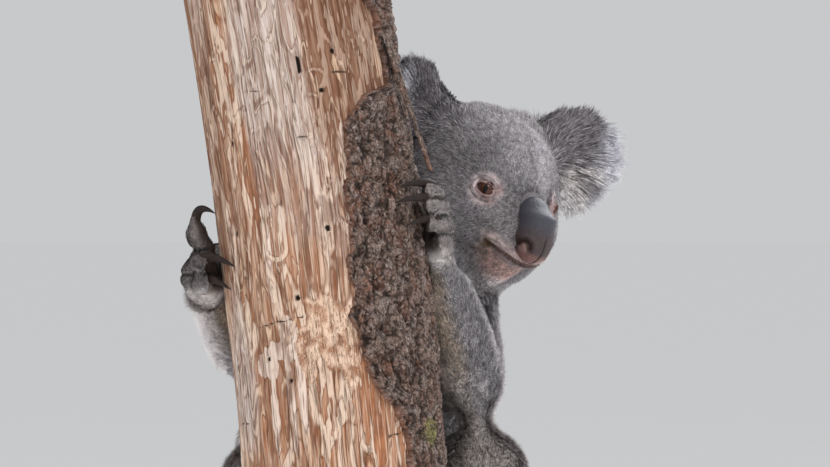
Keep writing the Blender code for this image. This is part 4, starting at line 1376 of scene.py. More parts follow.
def head_colours(colours, local, on_head):
    """The colours with the marks of the head laid over them."""
    x, y, z = local.T
    across = np.abs(x)
    distance, above = mouth_distance(local)
    from_lip = np.sign(above) * distance
    from_eye = eye_distance(local)
    pale_lit_brow = np.exp(-((across - 12.0) / 16.0) ** 2) * step(z, 2.0, 20.0) * step(z, 72.0, 40.0)
    temple = np.exp(-((across - 46.0) / 18.0) ** 2 - ((z - 16.0) / 22.0) ** 2)
    cheek = np.exp(-((across - 40.0) / 18.0) ** 2 - ((z + 26.0) / 14.0) ** 2)
    muzzle = np.exp(-((across - 22.0) / 9.0) ** 2 - ((z + 16.0) / 15.0) ** 2) * step(y, 5.0, -8.0)
    lip_band = np.exp(-((from_lip - 5.0) / 5.5) ** 2) * step(y, 6.0, -10.0)
    chin = step(-above, 0.5, 4.5) * step(y, 12.0, -5.0) * step(across, 35.0, 24.0)
    colours = painted(
        colours, on_head,
        (0.20 * step(z, 15.0, 50.0), SILVER),
        # painted shade: the back of the head darker on its near (right) side, behind the ear
        (0.5 * step(y, 20.0, 55.0) * step(x, 10.0, -60.0), DARK),
        # pale fur on the brow, made paler still as painted light falling from above
        (0.62 * pale_lit_brow, SILVER),
        (0.34 * temple, DARK),
        (0.05 * cheek, DARK),
        (0.32 * muzzle, 0.55 * SILVER + 0.45 * CREAM),
        (0.70 * lip_band * step(across, 36.0, 28.0), LIP_PINK),
        (chin, CHIN_PINK),
        (chin * step(z, -58.0, -68.0), WHITE),
        (0.5 * step(z, -48.0, -66.0) * step(across, 18.0, 34.0), SILVER),
        (0.95 * step(from_eye, 16.0, 9.5), EYE_RING),
        (0.70 * step(from_eye, 9.0, 5.5), EYE_PINK))
    for side in SIDES:
        centre, axes = eye_axes(side)
        seen = (local - centre) @ axes
        behind = (seen[:, 2] < -4.0) * 9.0
        for right, up, wide, tall in ((8.8, 1.5, 3.0, 4.5), (4.5, -7.6, 4.0, 2.6)):
            corner = np.hypot((seen[:, 0] - right) / wide, (seen[:, 1] - up) / tall) + behind
            colours = painted(colours, on_head, (0.55 * step(corner, 1.4, 0.3), CORNER_PINK))
    # painted shade in the fold at each corner of the mouth
    for sign in SIDES.values():
        corner = path_distance(CHEEK_FOLD, local * (-sign, 1.0, 1.0))[0]
        colours = painted(colours, on_head, (0.85 * step(corner, 5.5, 1.5), MOUTH_CORNER_SHADE))
    return painted(
        colours, on_head,
        (step(distance, 3.4, 2.0), MOUTH_DARK),
        (0.55 * step(z, -58.0, -76.0) * step(y, -10.0, 25.0), WHITE))


def ear_colours(side, local):
    """One ear's colours: pale streaked fringes, a dark part, a silver rim, and painted shadow at the base
    of the near (right) ear.
    """
    right, up, front = ear_plane(side, local)
    reach = np.hypot(right, up)
    lean = -0.63 * right + 0.78 * up
    streaks = np.stack([np.arctan2(up, right) * 3.2, reach, 0.0 * reach + 9.0], axis=1)
    streaks = rough_noise(streaks, 66, 3)
    dusk = step(lean + 0.5 * (streaks - 0.5), *DUSK_FROM[side])
    pale = np.tile(0.4 * CREAM + 0.5 * WHITE, (len(reach), 1))
    pale = tint(pale, step(reach, 0.10, 0.45), 0.88 * WHITE)
    pale = tint(0.92 * pale, 0.84 * step(streaks, 0.40, 0.56), GREY)
    root = step(local[:, 2], 68.0, 54.0) * step(local[:, 0], -100.0, -84.0)
    silvered = step(reach, 0.18, 0.40) * step(right, 0.14, 0.38)
    return painted(
        pale, 1.0,
        (dusk * (1.0 - 0.45 * step(reach, 0.62, 0.80)), 0.45 * GREY + 0.55 * DARK),
        # painted shadow at the base of the near (right) ear
        (root * (side == "right"), 0.9 * DARK + 0.1 * GREY),
        (0.85 * silvered, EAR_SILVER),
        ((front < -4.0) * 0.85 * step(reach, 0.9, 0.7), 0.6 * GREY + 0.4 * DARK))


def markings(places, local, shares, normals):
    """The colour of the coat and of the skin under it, for each place."""
    mottle = rough_noise(places / 9.0, 61, 3)
    broad_mottle = rough_noise(places / 27.0, 64, 2)
    colours = GREY * (0.80 + 0.40 * mottle)[:, None]
    colours = head_colours(colours, local, share_of(shares, "head"))
    for side in SIDES:
        on_ear = shares["ear_" + side][:, None]
        colours = colours + on_ear * (ear_colours(side, local) - colours)
    back, height = places[:, 1:].T
    ahead = -normals[:, 1]
    belly = step(ahead, -0.15, 0.55) * step(height, 300.0, 420.0)
    rump = step(height, 330.0, 250.0) * step(back, 110.0, 165.0)
    colours = painted(
        colours, share_of(shares, "torso"),
        (0.35 * broad_mottle, FAWN),
        (0.8 * belly, WHITE),
        (rump * (0.35 + 0.65 * step(mottle, 0.45, 0.60)), 0.5 * WHITE + 0.5 * SILVER))
    colours = painted(colours, share_of(shares, "neck"), (0.8 * step(ahead, -0.1, 0.6), WHITE))
    # left arm: cream inside towards the trunk; white along the outer rim, partly white fur and partly
    # painted rim light on the side that faces the lights on the right and behind; the low elbow painted
    # white as painted light against the shade between arm and thigh
    inner = step(-normals[:, 0], -0.35, 0.30)
    rim = step(normals[:, 0] + 0.5 * normals[:, 1], 0.55, 1.0)
    colours = painted(
        colours, shares["forearm_left"] + shares["upper_arm_left"],
        (0.85 * inner, ARM_CREAM),
        # painted light: the elbow made white against the shade between arm and thigh
        (0.65 * step(height, 500.0, 465.0), WHITE),
        # partly white fur, partly painted rim light on the side facing the lights
        (0.75 * rim, WHITE),
        (0.30 * (1.0 - inner), SILVER),
        (0.30 * (1.0 - rim) * step(mottle, 0.56, 0.42), DARK))
    # right arm: white outside, cream towards the trunk
    outer = step(-normals[:, 0], -0.25, 0.35)
    colours = painted(
        colours, shares["forearm_right"] + 0.6 * shares["upper_arm_right"],
        (outer, ARM_WHITE),
        (0.80 * (1.0 - outer), ARM_SHADE))
    colours = painted(
        colours, share_of(shares, "thigh", "shin"),
        (0.45, 0.5 * FAWN + 0.5 * CREAM),
        (0.25, SILVER),
        (0.5 * step(ahead, 0.1, 0.8), 0.6 * CREAM + 0.4 * GREY))
    # hands and feet: dark leathery pads on the gripping side, pale short fur outside
    wrist = (shares["hand_right"] * step(height, 562.0, 551.0)
             + shares["hand_left"] * step(height, 592.0, 580.0))
    palms = (1.0 - wrist) * gripping(places, normals, -0.15, 0.30)
    ends = share_of(shares, "hand", "foot")
    colours = painted(
        colours, ends,
        (0.9, 0.55 * DARK + 0.25 * GREY + 0.20 * FAWN),
        (0.60 * gripping(places, normals, -0.75, -0.35), 0.5 * SILVER + 0.5 * FAWN))
    colours = tint(colours, 0.9 * wrist, 0.8 * WHITE + 0.2 * CREAM)
    colours = tint(colours, ends * palms, PALM)
    right_hand = 0.40 * shares["hand_right"] * step(height, 568.0, 584.0)
    colours = tint(colours, right_hand, HAND_BROWN)
    # painted highlight on the left knuckles, on the side that faces the light on the right
    knuckle_highlight = shares["hand_left"] * (1.0 - wrist) * step(normals[:, 0], 0.15, 0.75)
    colours = tint(colours, 0.32 * knuckle_highlight, 0.6 * SILVER + 0.4 * CREAM)
    # painted shade in the creases between the digits
    return tint(colours, 0.94 * creases(places, shares), FOLD_SHADE)


def creases(places, shares):
    """1 in the folds between neighbouring digits of the hands."""
    return share_of(shares, "hand") * step(fold_distance(places), 2.7, 1.0)


def gripping(places, normals, low=0.05, high=0.45):
    """1 on the side of a hand or foot that faces the trunk, 0 on its back."""
    aside, ahead = off_trunk(places)
    inward = np.stack([-aside, ahead, 0.0 * ahead], axis=1)
    return step((unit(inward) * normals).sum(axis=1), low, high)


skin_colours = markings(places, local, shares, normals)
skin_colours = tint(skin_colours, step(margin, 4.5, 2.0), LID_PINK)
skin_colours = tint(skin_colours, step(margin, 1.2, 0.5), LID_EDGE)
store_colour(skin_mesh, "marking", skin_colours)
store(skin_mesh, "furred", step(length, 4.0, 7.5))
store(skin_mesh, "pad", share_of(shares, "hand", "foot") * gripping(places, normals))
store(skin_mesh, "lip", on_head * np.exp(-(mouth_distance(local)[0] / 1.5) ** 2))

pores = hide.cells(hide.place(), 900.0)
down = hide.noise(hide.place(), 1700.0, 3.0, 0.7)
undercoat = hide.mix(down, (0.45, 0.45, 0.45), (1.0, 1.0, 1.0))
furred = hide.read("furred") * 0.5 + 0.35
skin_colour = hide.mix(furred, hide.read("marking", "Color"), undercoat, "MULTIPLY")
skin_colour = hide.mix(hide.read("lip") * 0.9, skin_colour, (0.10, 0.035, 0.022))
hide.feed(base_color=skin_colour, roughness=0.85 - 0.3 * hide.read("pad"))
hide.bumps(0.5 * pores + 0.5 * down, 0.0008, 0.6)


# ---------------------------------------------------------------------- the coat
# Short dense fur, made as flat pointed tufts that overlap and follow the lie of the
# coat. Neighbouring tufts lean together into locks, most of all on the ears.
def towards(first, second):
    return unit(box_centre(second) - box_centre(first))


LIE = {
    "torso": np.array((0.0, 0.25, -1.0)),
    "neck": np.array((0.0, 0.45, -1.0)),
    "head": np.array((0.0, 0.0, -1.0)),
}
for side in SIDES:
    for part, start, end in (("upper_arm", "upper_arm", "forearm"), ("forearm", "forearm", "hand"),
                             ("hand", "hand", "forearm"), ("thigh", "thigh", "shin"),
                             ("shin", "shin", "foot"), ("foot", "shin", "foot")):
        LIE["%s_%s" % (part, side)] = towards("%s_%s" % (start, side), "%s_%s" % (end, side))
    LIE["ear_" + side] = np.array((0.0, 0.0, 1.0))

# The way the hair points at each corner of the skin.
flow = sum(shares[node][:, None] * unit(LIE[node]) for node in PARTS)
for limb, above in (("hand", "forearm"), ("foot", "shin")):
    for side in SIDES:
        fanned = unit(places - box_centre("%s_%s" % (above, side)))
        flow = flow + shares["%s_%s" % (limb, side)][:, None] * (fanned - flow)
# On the head it is swept back from the nose, on the ears fanned out, round the eyes parted.
NOSE_BRIDGE = np.array((0.0, -34.0, 2.0))
EAR_ROOT = np.array((32.0, 50.0, 66.0))
swept = unit(local - NOSE_BRIDGE) @ head_axes.T
flow = flow + on_head[:, None] * (swept - flow)
for side in SIDES:
    middle, axes, rim = ear_frames[side]
    root = middle - axes[:, 0] * rim[0] * 0.55 - axes[:, 1] * rim[1] * 0.15
    fan = unit(unit(local - root) + 0.10 * axes[:, 2]) @ head_axes.T
    fan = unit(fan + np.array((0.0, 0.0, -0.16)))
    flow = flow + shares["ear_" + side][:, None] * (fan - flow)
    centre, eye = eye_axes(side)
    away = (local - centre) @ eye
    parted = unit(away * (1.0, 1.0, 0.0) + (-0.25 * EYE_RADIUS, 0.0, 0.0)) @ eye.T @ head_axes.T
    close = on_head * step(lengths(local - centre), 24.0, 12.0)
    flow = flow + close[:, None] * (parted - flow)
flow = soften(unit(flow), links, 6)
flow = unit(flow - (flow * normals).sum(axis=1)[:, None] * normals)
swirl = (rough_noise(places / 13.0, 71, 2) - 0.5) * 1.1 * (1.0 - 0.55 * on_head)
aside = np.cross(flow, normals)
flow = unit(flow + swirl[:, None] * aside)

# How far the hair stands up, how even its colour is, and how strongly its locks gather.
LONG_SLEEVE = 17.0            # the longest hair on the right forearm
LONG_EAR = 25.0               # and on the ears
lift = 0.72 * np.arcsin(np.clip(depth / length, 0.05, 0.8))
shaggy = shares["forearm_right"] * step(-normals[:, 0], 0.0, 0.6)
length = shaped_by(shaggy, length, LONG_SLEEVE)
lift = shaped_by(shaggy, lift, 0.45)
eye_side = step(eye_distance(local), 17.0, 9.0)
lip_side = step(mouth_distance(local)[0], 16.0, 6.0)
calm = np.maximum.reduce([1.1 * eye_side, 0.8 * lip_side, 0.8 * shaggy,
                          0.55 * share_of(shares, "hand", "foot", "ear")])
lift = shaped_by(face * (1.0 - eye_side), lift, 0.60)
clump = shaped_by(share_of(shares, "ear"), 0.42 - 0.30 * face, 0.55)

ear_root = on_head * step(lengths(local - EAR_ROOT), 24.0, 10.0)
length = shaped_by(ear_root, length, 15.0)
lift = shaped_by(ear_root, lift, 0.75)
for side in SIDES:
    on_ear = step(shares["ear_" + side], 0.3, 0.8)
    right, up, front = ear_plane(side, local)
    reach = np.hypot(right, up)
    rim_side = step(0.95 * right - 0.35 * up, -0.35, 0.30)
    fringe = on_ear * step(reach, 0.38, 0.62) * (0.30 + 0.70 * rim_side)
    lap = on_ear * step(front, 0.0, 5.0) * (0.4 + 0.6 * rim_side)
    pale_side = step(-0.63 * right + 0.78 * up, 0.25, -0.25)
    length = shaped_by(lap * (0.35 + 0.65 * pale_side), length, LONG_EAR)
    length = shaped_by(fringe, length, LONG_EAR)
    lift = shaped_by(on_ear, lift, 0.16 + 0.10 * lap)
    if side == "right":
        base = on_ear * step(local[:, 2], 68.0, 54.0) * step(local[:, 0], -104.0, -88.0)
        length = shaped_by(base, length, 7.0)
        fringe = fringe * (1.0 - base)
    hanging = fringe * step(up, -0.2, -0.8)
    length = length + 7.0 * hanging
    width = shaped_by(fringe, width, 0.36)
    crowd = shaped_by(fringe, crowd, 330.0)

# No hair grows in the sockets, on the lids, lips, nose and pads, or inside the trunk.
paws = share_of(shares, "hand", "foot")
bare_skin = [
    step(margin, 2.6, 1.4),
    on_head * (from_nose < 1.2),
    on_head * (mouth_distance(local)[0] < 2.3),
    creases(places, shares),
    0.93 * paws * gripping(places, normals, -0.15, 0.25),
    np.hypot(*off_trunk(places)) < TRUNK_RADIUS + 0.5]
for side in SIDES:
    centre, eye = eye_axes(side)
    seen = (local - centre) @ eye
    in_socket = (np.hypot(seen[:, 0], seen[:, 1]) < 10.0) * (seen[:, 2] > -6.0)
    bare_skin.append((lids < 0.5) * in_socket * on_head)
crowd = crowd * (1.0 - np.maximum.reduce(bare_skin))

skin_mesh.calc_loop_triangles()
triangles = np.empty(len(skin_mesh.loop_triangles) * 3, dtype=np.int64)
skin_mesh.loop_triangles.foreach_get("vertices", triangles)
triangles = triangles.reshape(-1, 3)


def tuft_shape(segments):
    """One flat tuft as a narrow grid closed to a point: shares across and along, and faces."""
    bm = bmesh.new()
    bmesh.ops.create_grid(bm, x_segments=1, y_segments=segments, size=0.5)
    tip = [vertex for vertex in bm.verts if vertex.co.y > 0.49]
    bmesh.ops.pointmerge(bm, verts=tip, merge_co=(0.0, 0.5, 0.0))
    bmesh.ops.triangulate(bm, faces=bm.faces)
    bm.verts.index_update()
    across = np.array([2.0 * vertex.co.x for vertex in bm.verts])
    along = np.array([vertex.co.y + 0.5 for vertex in bm.verts])
    faces = np.array([[vertex.index for vertex in face.verts] for face in bm.faces])
    bm.free()
    return across, along, faces


def joined_mesh(name, places, faces):
    mesh = bpy.data.meshes.new(name)
    mesh.vertices.add(len(places))
    mesh.vertices.foreach_set("co", (places * MM).astype(np.float32).ravel())
    mesh.loops.add(faces.size)
    mesh.loops.foreach_set("vertex_index", faces.ravel().astype(np.int32))
    mesh.polygons.add(len(faces))
    mesh.polygons.foreach_set("loop_start", np.arange(len(faces), dtype=np.int32) * faces.shape[1])
    mesh.update(calc_edges=True)
    mesh.shade_smooth()
    return mesh


def sown_roots(density, random):
    """Root places on the skin: a triangle and three corner weights for each."""
    a, b, c = (places[triangles[:, index]] for index in range(3))
    area = lengths(np.cross(b - a, c - a)) / 200.0
    total = np.cumsum(area * density[triangles].mean(axis=1))
    count = int(total[-1])
    spots = (np.arange(count) + random.random(count)) * total[-1] / count
    found = np.searchsorted(total, spots)
    first, second = np.sqrt(random.random(count)), random.random(count)
    weights = np.stack([1.0 - first, first * (1.0 - second), first * second], axis=1)
    order = random.permutation(count)
    return triangles[found[order]], weights[order]


def wrapped(node, places):
    """A part's skin unrolled: the angle round its long axis and the share along it."""
    cloud = corners(cad[node].data)
    middle = cloud.mean(axis=0)
    axes = np.linalg.svd(cloud - middle, full_matrices=False)[2]
    axis, side = (axes[2], axes[0]) if node.startswith("ear") else axes[:2]
    off = places - middle
    ahead = off @ axis
    angle = np.arctan2(off @ np.cross(axis, side), off @ side)
    if node.startswith(("ear", "head")):
        ahead = np.clip(ahead / lengths(off), -1.0, 1.0)
        ahead = np.arcsin(ahead) / math.pi + 0.5
    else:
        reach = (cloud - middle) @ axis
        ahead = (ahead - reach.min()) / (reach.max() - reach.min())
    return np.stack([angle / (2.0 * math.pi) + 0.5, np.clip(ahead, 0.0, 1.0)], axis=1)


PATCH = 0.003                 # a tuft's size on the unrolled skin
LOCK_TUFTS = 9                # tufts that lean together
PIECE_LIMIT = 190000          # triangles in one piece of fur
WOOD_CLEAR = 1.2              # how far the fur is kept off the wood,
BARK_CLEAR = 7.0              # how much more where there is bark,
BARK_MARGIN = 3.0             # and how many degrees past the bark's edges
fur = Finish("fur", roughness=0.75, specular_ior_level=0.22)
tone = fur.read("tone")
calmness = 1.0 - 0.85 * fur.read("calm")
# painted shade: each tuft darker towards its root, standing in for the shade deep in the coat
painted_root_shade = fur.mix(fur.read("along").above(0.0, 0.7), (0.62, 0.61, 0.61), (1.12, 1.12, 1.12))
speckle = fur.noise(fur.place(), 620.0, 3.0, 0.8).above(0.36, 0.64)
speckle = fur.mix(speckle, (0.44, 0.43, 0.44), (1.56, 1.56, 1.56))
clumps = fur.noise(fur.place(), 210.0, 2.0, 0.6).above(0.38, 0.60)
clumps = fur.mix(clumps, (0.70, 0.69, 0.70), (1.18, 1.18, 1.18))
fur_colour = fur.read("marking", "Color")
for share, darker in ((1.0, painted_root_shade), (calmness, speckle), (1.0, clumps)):
    fur_colour = fur.mix(share, fur_colour, darker, "MULTIPLY")
fur_colour = fur.layers(fur_colour,
                        (tone.above(0.5, 0.0) * 0.78, (0.045, 0.040, 0.042)),
                        (tone.above(0.5, 1.0) * 0.62, (0.80, 0.79, 0.78)))
fur.feed(base_color=fur_colour)


def grow(name, wanted, segments, seed, only=1.0):
    """Tufts on the body parts whose names start with wanted, in pieces of a safe size."""
    random = np.random.default_rng(seed)
    owner = share_of(shares, *wanted)
    density = crowd * (owner > 0.5) * only
    corners_of, weights = sown_roots(density, random)
    count = len(corners_of)

    def at(values):
        picked = values[corners_of]
        if picked.ndim == 3:
            return (picked * weights[:, :, None]).sum(axis=1)
        return (picked * weights).sum(axis=1)

    root = at(places)
    out = unit(at(normals))
    lie = unit(at(flow))
    side = np.cross(lie, out)
    long = at(length) * (0.70 + 0.60 * random.random(count))
    rise = at(lift) * (0.65 + 0.75 * random.random(count))
    wide = at(width) * (0.75 + 0.5 * random.random(count))
    lie = unit(lie + side * random.normal(0.0, 0.16, count)[:, None])
    side = np.cross(lie, out)
    bend = random.normal(0.0, 0.10, count)
    roll = random.normal(0.0, 0.55, count)
    across, along, faces = tuft_shape(segments)
    t = along[None, :, None]
    run = (long * np.cos(rise))[:, None, None]
    climb = (long * np.sin(rise))[:, None, None]
    path = (root[:, None, :] - 0.5 * out[:, None, :] + lie[:, None, :] * run * t
            + out[:, None, :] * climb * t * (1.55 - 0.55 * t)
            + side[:, None, :] * (bend * long)[:, None, None] * t * t)
    guides = random.permutation(count)[:max(1, count // LOCK_TUFTS)]
    tree = KDTree(len(guides))
    for index, guide in enumerate(guides):
        tree.insert(root[guide], index)
    tree.balance()
    leader = guides[[tree.find(place)[1] for place in root.tolist()]]
    lean = (at(clump) * (0.6 + 0.8 * random.random(count)))[:, None, None]
    path = path + lean * t ** 1.4 * (path[leader] - path)
    flat_side = side * np.cos(roll)[:, None] + out * np.sin(roll)[:, None]
    thick = wide[:, None] * (0.62 + 0.75 * along - 1.37 * along * along)[None, :]
    points = path + flat_side[:, None, :] * (thick * across[None, :])[:, :, None]
    points = kept_off_trunk(points.reshape(-1, 3))
    spots = len(along)
    root_shares = {node: at(share) for node, share in shares.items()}
    colours = markings(root, to_head(root), root_shares, out)
    drawn = random.random(count)
    tones = 0.5 + 0.10 * random.normal(0.0, 1.0, count)
    tones = np.where(drawn < 0.21, 0.08 + 0.25 * random.random(count), tones)
    tones = np.where(drawn > 0.76, 0.68 + 0.27 * random.random(count), tones)
    whiteness = step(colours[:, 1], 0.35, 0.75)
    calmed = np.clip(at(calm), 0.0, 1.0)
    steady = (1.0 - calmed * 0.8) * (1.0 - 0.8 * whiteness * (tones < 0.5))
    tones = 0.5 + (tones - 0.5) * steady
    spread_out = np.zeros((count, 2))
    cells = [node for node in FLESH if node.startswith(wanted)]
    for index, node in enumerate(cells):
        mine = root_shares[node] >= max(0.5 / len(cells), 0.3)
        unrolled = wrapped(node, root[mine])
        spread_out[mine] = (unrolled * 0.96 + 0.02 + (index, 0.0)) / (len(cells), 1.0)
    patch = np.stack([across * 0.5, along - 0.5], axis=1) * PATCH
    pieces = math.ceil(count / (PIECE_LIMIT // len(faces)))
    order = np.argsort(root[:, 2], kind="stable")
    for index, mine in enumerate(np.array_split(order, pieces)):
        title = name if pieces == 1 else "%s_%d" % (name, index + 1)
        rows = (mine[:, None] * spots + np.arange(spots)).ravel()
        tris = (np.arange(len(mine))[:, None, None] * spots + faces[None]).reshape(-1, 3)
        mesh = joined_mesh(title, points[rows], tris)
        store(mesh, "along", np.tile(along, len(mine)))
        store(mesh, "tone", np.repeat(tones[mine], spots))
        store(mesh, "calm", np.repeat(calmed[mine], spots))
        store_colour(mesh, "marking", np.repeat(colours[mine], spots, axis=0))
        uv = (spread_out[mine][:, None, :] + patch[None]).reshape(-1, 2)
        layer = mesh.uv_layers.new(name="OFBake")
        layer.uv.foreach_set("vector", uv[tris.ravel()].astype(np.float32).ravel())
        add_piece(title, mesh, fur)


def kept_off_trunk(points):
    """Points that would lie inside the wood or the bark, laid on its surface instead."""
    aside, ahead = off_trunk(points)
    height = points[:, 2]
    reach = np.hypot(aside, ahead)
    degrees = np.degrees(np.arctan2(aside, ahead))
    front, back = bark_edges(height)
    on_bark = (degrees > front - BARK_MARGIN) & (degrees < back + BARK_MARGIN)
    surface = TRUNK_RADIUS + WOOD_CLEAR + BARK_CLEAR * on_bark
    near = (reach < surface) & (height > TRUNK_LOW) & (height < TRUNK_HIGH)
    out = np.where(near, surface / np.maximum(reach, 1.0), 1.0)
    return np.stack([aside * out + trunk_x(height), TRUNK_Y - ahead * out, height], axis=1)


FACE_FROM = 0.55              # the share of the face from which its own pieces grow
front_face = face > FACE_FROM
grow("coat_face", ("head",), 1, 200, front_face)
grow("coat_head", ("head",), 1, 201, 1.0 - front_face)
grow("coat_ears", ("ear",), 3, 202)
grow("coat_neck", ("neck",), 2, 203)
grow("coat_torso", ("torso",), 1, 204)
grow("coat_left_arm", ("upper_arm_left", "forearm_left"), 1, 205)
grow("coat_right_arm", ("upper_arm_right", "forearm_right"), 1, 206)
grow("coat_left_leg", ("thigh_left", "shin_left"), 1, 207)
grow("coat_right_leg", ("thigh_right", "shin_right"), 1, 208)
grow("coat_hands", ("hand",), 2, 209)
grow("coat_feet", ("foot",), 2, 210)


# ---------------------------------------------------------------------- the eyes
# Glass eyes: a clear bulging front over a red-brown iris with an upright slit pupil.
# Each is one ball that sits behind its lids, with its colours painted on it.
IRIS_RADIUS = 6.2
EYE_SEGMENTS = 96
EYE_RINGS = 72
IRIS_EDGE = (0.035, 0.014, 0.010)
EYEBALL = (0.030, 0.015, 0.012)
PUPIL = (0.006, 0.005, 0.005)
glass = Finish("eye_glass", roughness=0.3, coat_weight=0.4, coat_roughness=0.03,
               specular_ior_level=0.05)
threads = glass.noise(glass.place(), 1600.0, 3.0).above(0.3, 0.7) * 0.35
glass_colour = glass.mix(threads, glass.read("marking", "Color"), (0.020, 0.008, 0.006))
glass.feed(base_color=glass_colour)
for side in SIDES:
    centre, axes = eye_axes(side)
    ball = bmesh.new()
    bmesh.ops.create_uvsphere(ball, u_segments=EYE_SEGMENTS, v_segments=EYE_RINGS,
                              radius=EYE_RADIUS * MM)
    eye_mesh = new_mesh("eyeball_" + side, ball)
    seen = corners(eye_mesh)
    ring = np.hypot(seen[:, 0], seen[:, 1])
    front = seen[:, 2] > 0.0
    slit = np.hypot(seen[:, 0] / 1.6, seen[:, 1] / 3.4)
    turn = np.arctan2(seen[:, 1], seen[:, 0])
    rays = rough_noise(np.stack([turn * 7.0, ring * 0.25, 0.0 * ring], axis=1), 81, 3)
    iris = np.tile((0.110, 0.040, 0.027), (len(seen), 1))
    iris = painted(iris, 1.0,
                   (0.75 * rays, (0.040, 0.014, 0.010)),
                   (0.8 * step(ring, 4.6, IRIS_RADIUS), IRIS_EDGE),
                   (step(ring, IRIS_RADIUS, IRIS_RADIUS + 0.5), EYEBALL),
                   (step(slit, 1.1, 0.85) * front, PUPIL))
    store_colour(eye_mesh, "marking", iris)
    bulge = 1.2 * front * step(ring, IRIS_RADIUS + 1.0, 2.0)
    seen = seen * (1.0 + bulge / EYE_RADIUS)[:, None]
    set_corners(eye_mesh, from_head(seen @ axes.T + centre))
    if np.linalg.det(axes) < 0.0:
        eye_mesh.flip_normals()
    eye_mesh.shade_smooth()
    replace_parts(add_piece("eyeball_" + side, eye_mesh, glass), "eye_" + side)


# ---------------------------------------------------------------------- the nose
# A long spoon-shaped pad of bare leathery skin, cast in rubber: blue-black above and
# browner below, with comma-shaped nostrils and a shallow groove between them.
NOSE_VOXEL = 0.8
NOSE_REGAIN = 2.0             # given back after smoothing has shrunk the pad
PAD_ROUNDS = 130
NOSE_ROUNDS = 45
NOSTRIL = np.array((
    (-18.0, -30.0, -35.0), (-17.4, -33.5, -32.2), (-14.8, -36.4, -31.4),
    (-12.2, -38.0, -33.2), (-10.8, -38.6, -37.0)))
NOSTRIL_FLAT = np.array((1.0, 0.35, 1.0))
NOSTRIL_FLOOR = (-15.0, -34.5, -37.2)


def stretched_across(share):
    """The factors that make a row of places wider by a share, and no taller or deeper."""
    return np.stack([share, np.ones(len(share)), np.ones(len(share))], axis=1)


nose_mesh = remeshed(swollen(["nose"], "nose_pad"), NOSE_VOXEL)
seen = corners(nose_mesh)
nose_links = links_of(nose_mesh)
seen = soften(seen, nose_links, PAD_ROUNDS)
set_corners(nose_mesh, seen)
nose_normals = outward(nose_mesh)
seen = to_head(seen + NOSE_REGAIN * nose_normals)
tall = seen[:, 2]
bridge = step(tall, -30.0, -4.0)
seen = seen * stretched_across(0.96 + 0.06 * bridge) - bridge[:, None] * (0.0, 4.5, 0.0)
seen = seen - step(tall, -14.0, 5.0)[:, None] * (0.0, 0.0, 6.0)
tall = seen[:, 2]
seen = seen * stretched_across(1.0 - 0.04 * step(tall, -8.0, -18.0))
bow = 2.3 * np.exp(-((tall + 26.0) / 13.0) ** 2) - 1.4 * np.exp(-((tall + 4.0) / 9.0) ** 2)
seen = soften(seen + bow[:, None] * (0.0, 1.0, 0.0), nose_links, NOSE_ROUNDS)

one_side = seen * np.where(seen[:, :1] < 0.0, 1.0, (-1.0, 1.0, 1.0))
nostril, nostril_share = path_distance(NOSTRIL * NOSTRIL_FLAT, one_side * NOSTRIL_FLAT)[:2]
hole = np.exp(-(nostril / (2.3 - 0.7 * nostril_share)) ** 2)
groove = np.exp(-(seen[:, 0] / 0.9) ** 2) * step(seen[:, 1], 0.0, -20.0)
groove = groove * step(seen[:, 2], -20.0, -30.0)
flap = np.exp(-((nostril - 4.2) / 1.6) ** 2)
carved = 3.6 * hole * (1.0 - 0.5 * nostril_share) + 1.1 * groove - 0.5 * flap
seen = seen - carved[:, None] * (nose_normals @ head_axes)
set_corners(nose_mesh, from_head(seen))
nose_mesh.shade_smooth()
one_side = seen * np.where(seen[:, :1] < 0.0, 1.0, (-1.0, 1.0, 1.0))
from_floor = lengths(one_side - NOSTRIL_FLOOR)
pad_colour = np.tile((0.064, 0.064, 0.082), (len(seen), 1))
pad_colour = painted(pad_colour, 1.0,
                     (step(seen[:, 2], -12.0, -30.0), (0.068, 0.044, 0.045)),
                     (0.85 * step(from_floor, 6.0, 3.2), (0.28, 0.165, 0.145)),
                     (0.85 * step(seen[:, 2], -38.0, -43.0), (0.27, 0.125, 0.105)),
                     # painted shade in the nostril openings
                     (0.95 * step(hole, 0.12, 0.60), (0.035, 0.016, 0.012)),
                     (0.85 * groove, (0.016, 0.011, 0.011)))
store_colour(nose_mesh, "marking", pad_colour)
leather = Finish("nose_leather", roughness=0.5, specular_ior_level=0.3, coat_weight=0.06,
                 coat_roughness=0.4)
leather_place = leather.place()
pebbles = leather.cells(leather_place, 950.0)
grain = leather.noise(leather_place, 420.0, 4.0, 0.6)
leather_colour = leather.read("marking", "Color")
leather_colour = leather.mix(pebbles, leather_colour, (0.55, 0.55, 0.56), "MULTIPLY")
leather.feed(base_color=leather_colour, roughness=0.40 + 0.25 * grain)
leather.bumps(grain * 0.4 - 0.8 * pebbles, 0.0006, 0.8)
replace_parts(add_piece("nose_pad", nose_mesh, leather), "nose")


# ---------------------------------------------------------------------- the claws
# Long hooked claws of dark horn, one piece for each hand and foot. Each claw is a bent
# tapering horn, closed at both ends, with its root set into its digit.
CLAW_RINGS = 26
CLAW_SIDES = 16
CLAW_ROOT = 4.0               # how far a claw is set back into its digit
CLAW_SEAT = 0.45              # where it starts, from the middle joint (0) to the tip (1)
CLAW_ABOVE = 3.0
CLAW_BOW = {"hand": 5.0, "foot": 3.5}
CLAW_SIZE = {"hand": (4.3, 3.0), "foot": (2.7, 2.0)}
horn = Finish("claw_horn", roughness=0.5, coat_weight=0.02, coat_roughness=0.3,
              specular_ior_level=0.12)
fibres = horn.noise(horn.place(), 700.0, 4.0, 0.6, 1.5)
to_tip = horn.read("along")
horn_colour = horn.mix(fibres.above(0.35, 0.75), (0.014, 0.010, 0.009), (0.050, 0.036, 0.032))
horn_colour = horn.mix(to_tip.above(0.40, 0.05) * 0.5, horn_colour, (0.085, 0.055, 0.042))
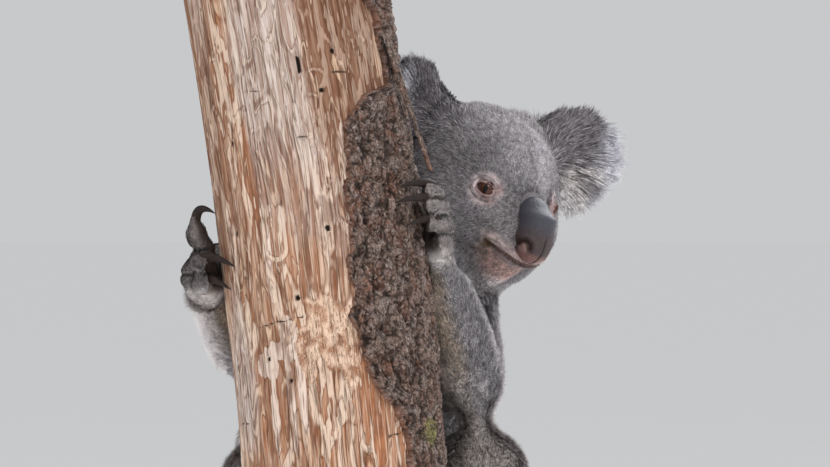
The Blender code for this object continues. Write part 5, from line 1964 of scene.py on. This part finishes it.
horn.feed(base_color=horn_colour, roughness=0.52 + 0.25 * fibres)
horn.bumps(fibres, 0.00025, 0.5)


def claw_shape(root, tip, bow, tall, wide, across, up):
    """A hooked tapering horn: a bent centre line with an oval round it."""
    outward_way = unit(np.array((root[0] - trunk_x(root[2]), root[1] - TRUNK_Y, 0.0)))
    raised = 0.45 * outward_way + np.array((0.0, 0.0, 0.85))
    knee = 0.5 * (root + tip) + raised * bow * 2.0
    t = up[:, None]
    line = (1.0 - t) ** 2 * root + 2.0 * t * (1.0 - t) * knee + t * t * tip
    ahead = unit(2.0 * (1.0 - t) * (knee - root) + 2.0 * t * (tip - knee))
    aside = unit(np.cross(ahead, raised))
    over = np.cross(aside, ahead)
    turn = 2.0 * math.pi * across
    thin = (1.0 - up ** 2.0) ** 0.85 * np.minimum(1.0, 0.6 + 4.0 * up)
    return line + (over * (tall * np.cos(turn) * thin)[:, None]
                   + aside * (wide * np.sin(turn) * thin)[:, None])


for (limb, side), digits in DIGITS.items():
    clawed = [joints for joints in digits if joints[3]]
    shapes = []
    for number, joints in enumerate(clawed, start=1):
        middle, end, tip = (held_place(side, joint) for joint in joints[1:])
        root = middle + CLAW_SEAT * (end - middle) + np.array((0.0, 0.0, CLAW_ABOVE))
        curled = limb == "hand" and side == "right" and number == 3
        root = root - unit(tip - root) * CLAW_ROOT * (0.5 if curled else 1.0)
        bow = CLAW_BOW[limb] * (1.9 if curled else 1.0)
        tall, wide = CLAW_SIZE[limb]
        small = 0.75 if limb == "foot" and number < 3 else 1.0
        shapes.append(bent_grid("claw", CLAW_SIDES, CLAW_RINGS, lambda across, up: claw_shape(
            root, tip, bow, tall * small, wide * small, across, up)))
    whole = bmesh.new()
    for shape in shapes:
        whole.from_mesh(shape)
    bmesh.ops.remove_doubles(whole, verts=whole.verts, dist=0.000005)
    bmesh.ops.holes_fill(whole, edges=[e for e in whole.edges if e.is_boundary])
    bmesh.ops.recalc_face_normals(whole, faces=whole.faces)
    claw_mesh = new_mesh("claws_%s_%s" % (limb, side), whole)
    roots = np.array([held_place(side, joints[2]) for joints in clawed])
    from_root = np.linalg.norm(corners(claw_mesh)[:, None] - roots, axis=2).min(axis=1)
    store(claw_mesh, "along", np.clip(from_root / 25.0, 0.0, 1.0))
    claw_mesh.shade_smooth()
    nodes = [node for node in cad if node.startswith("claw_%s_%s" % (limb, side))]
    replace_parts(add_piece("claws_%s_%s" % (limb, side), claw_mesh, horn), *nodes)
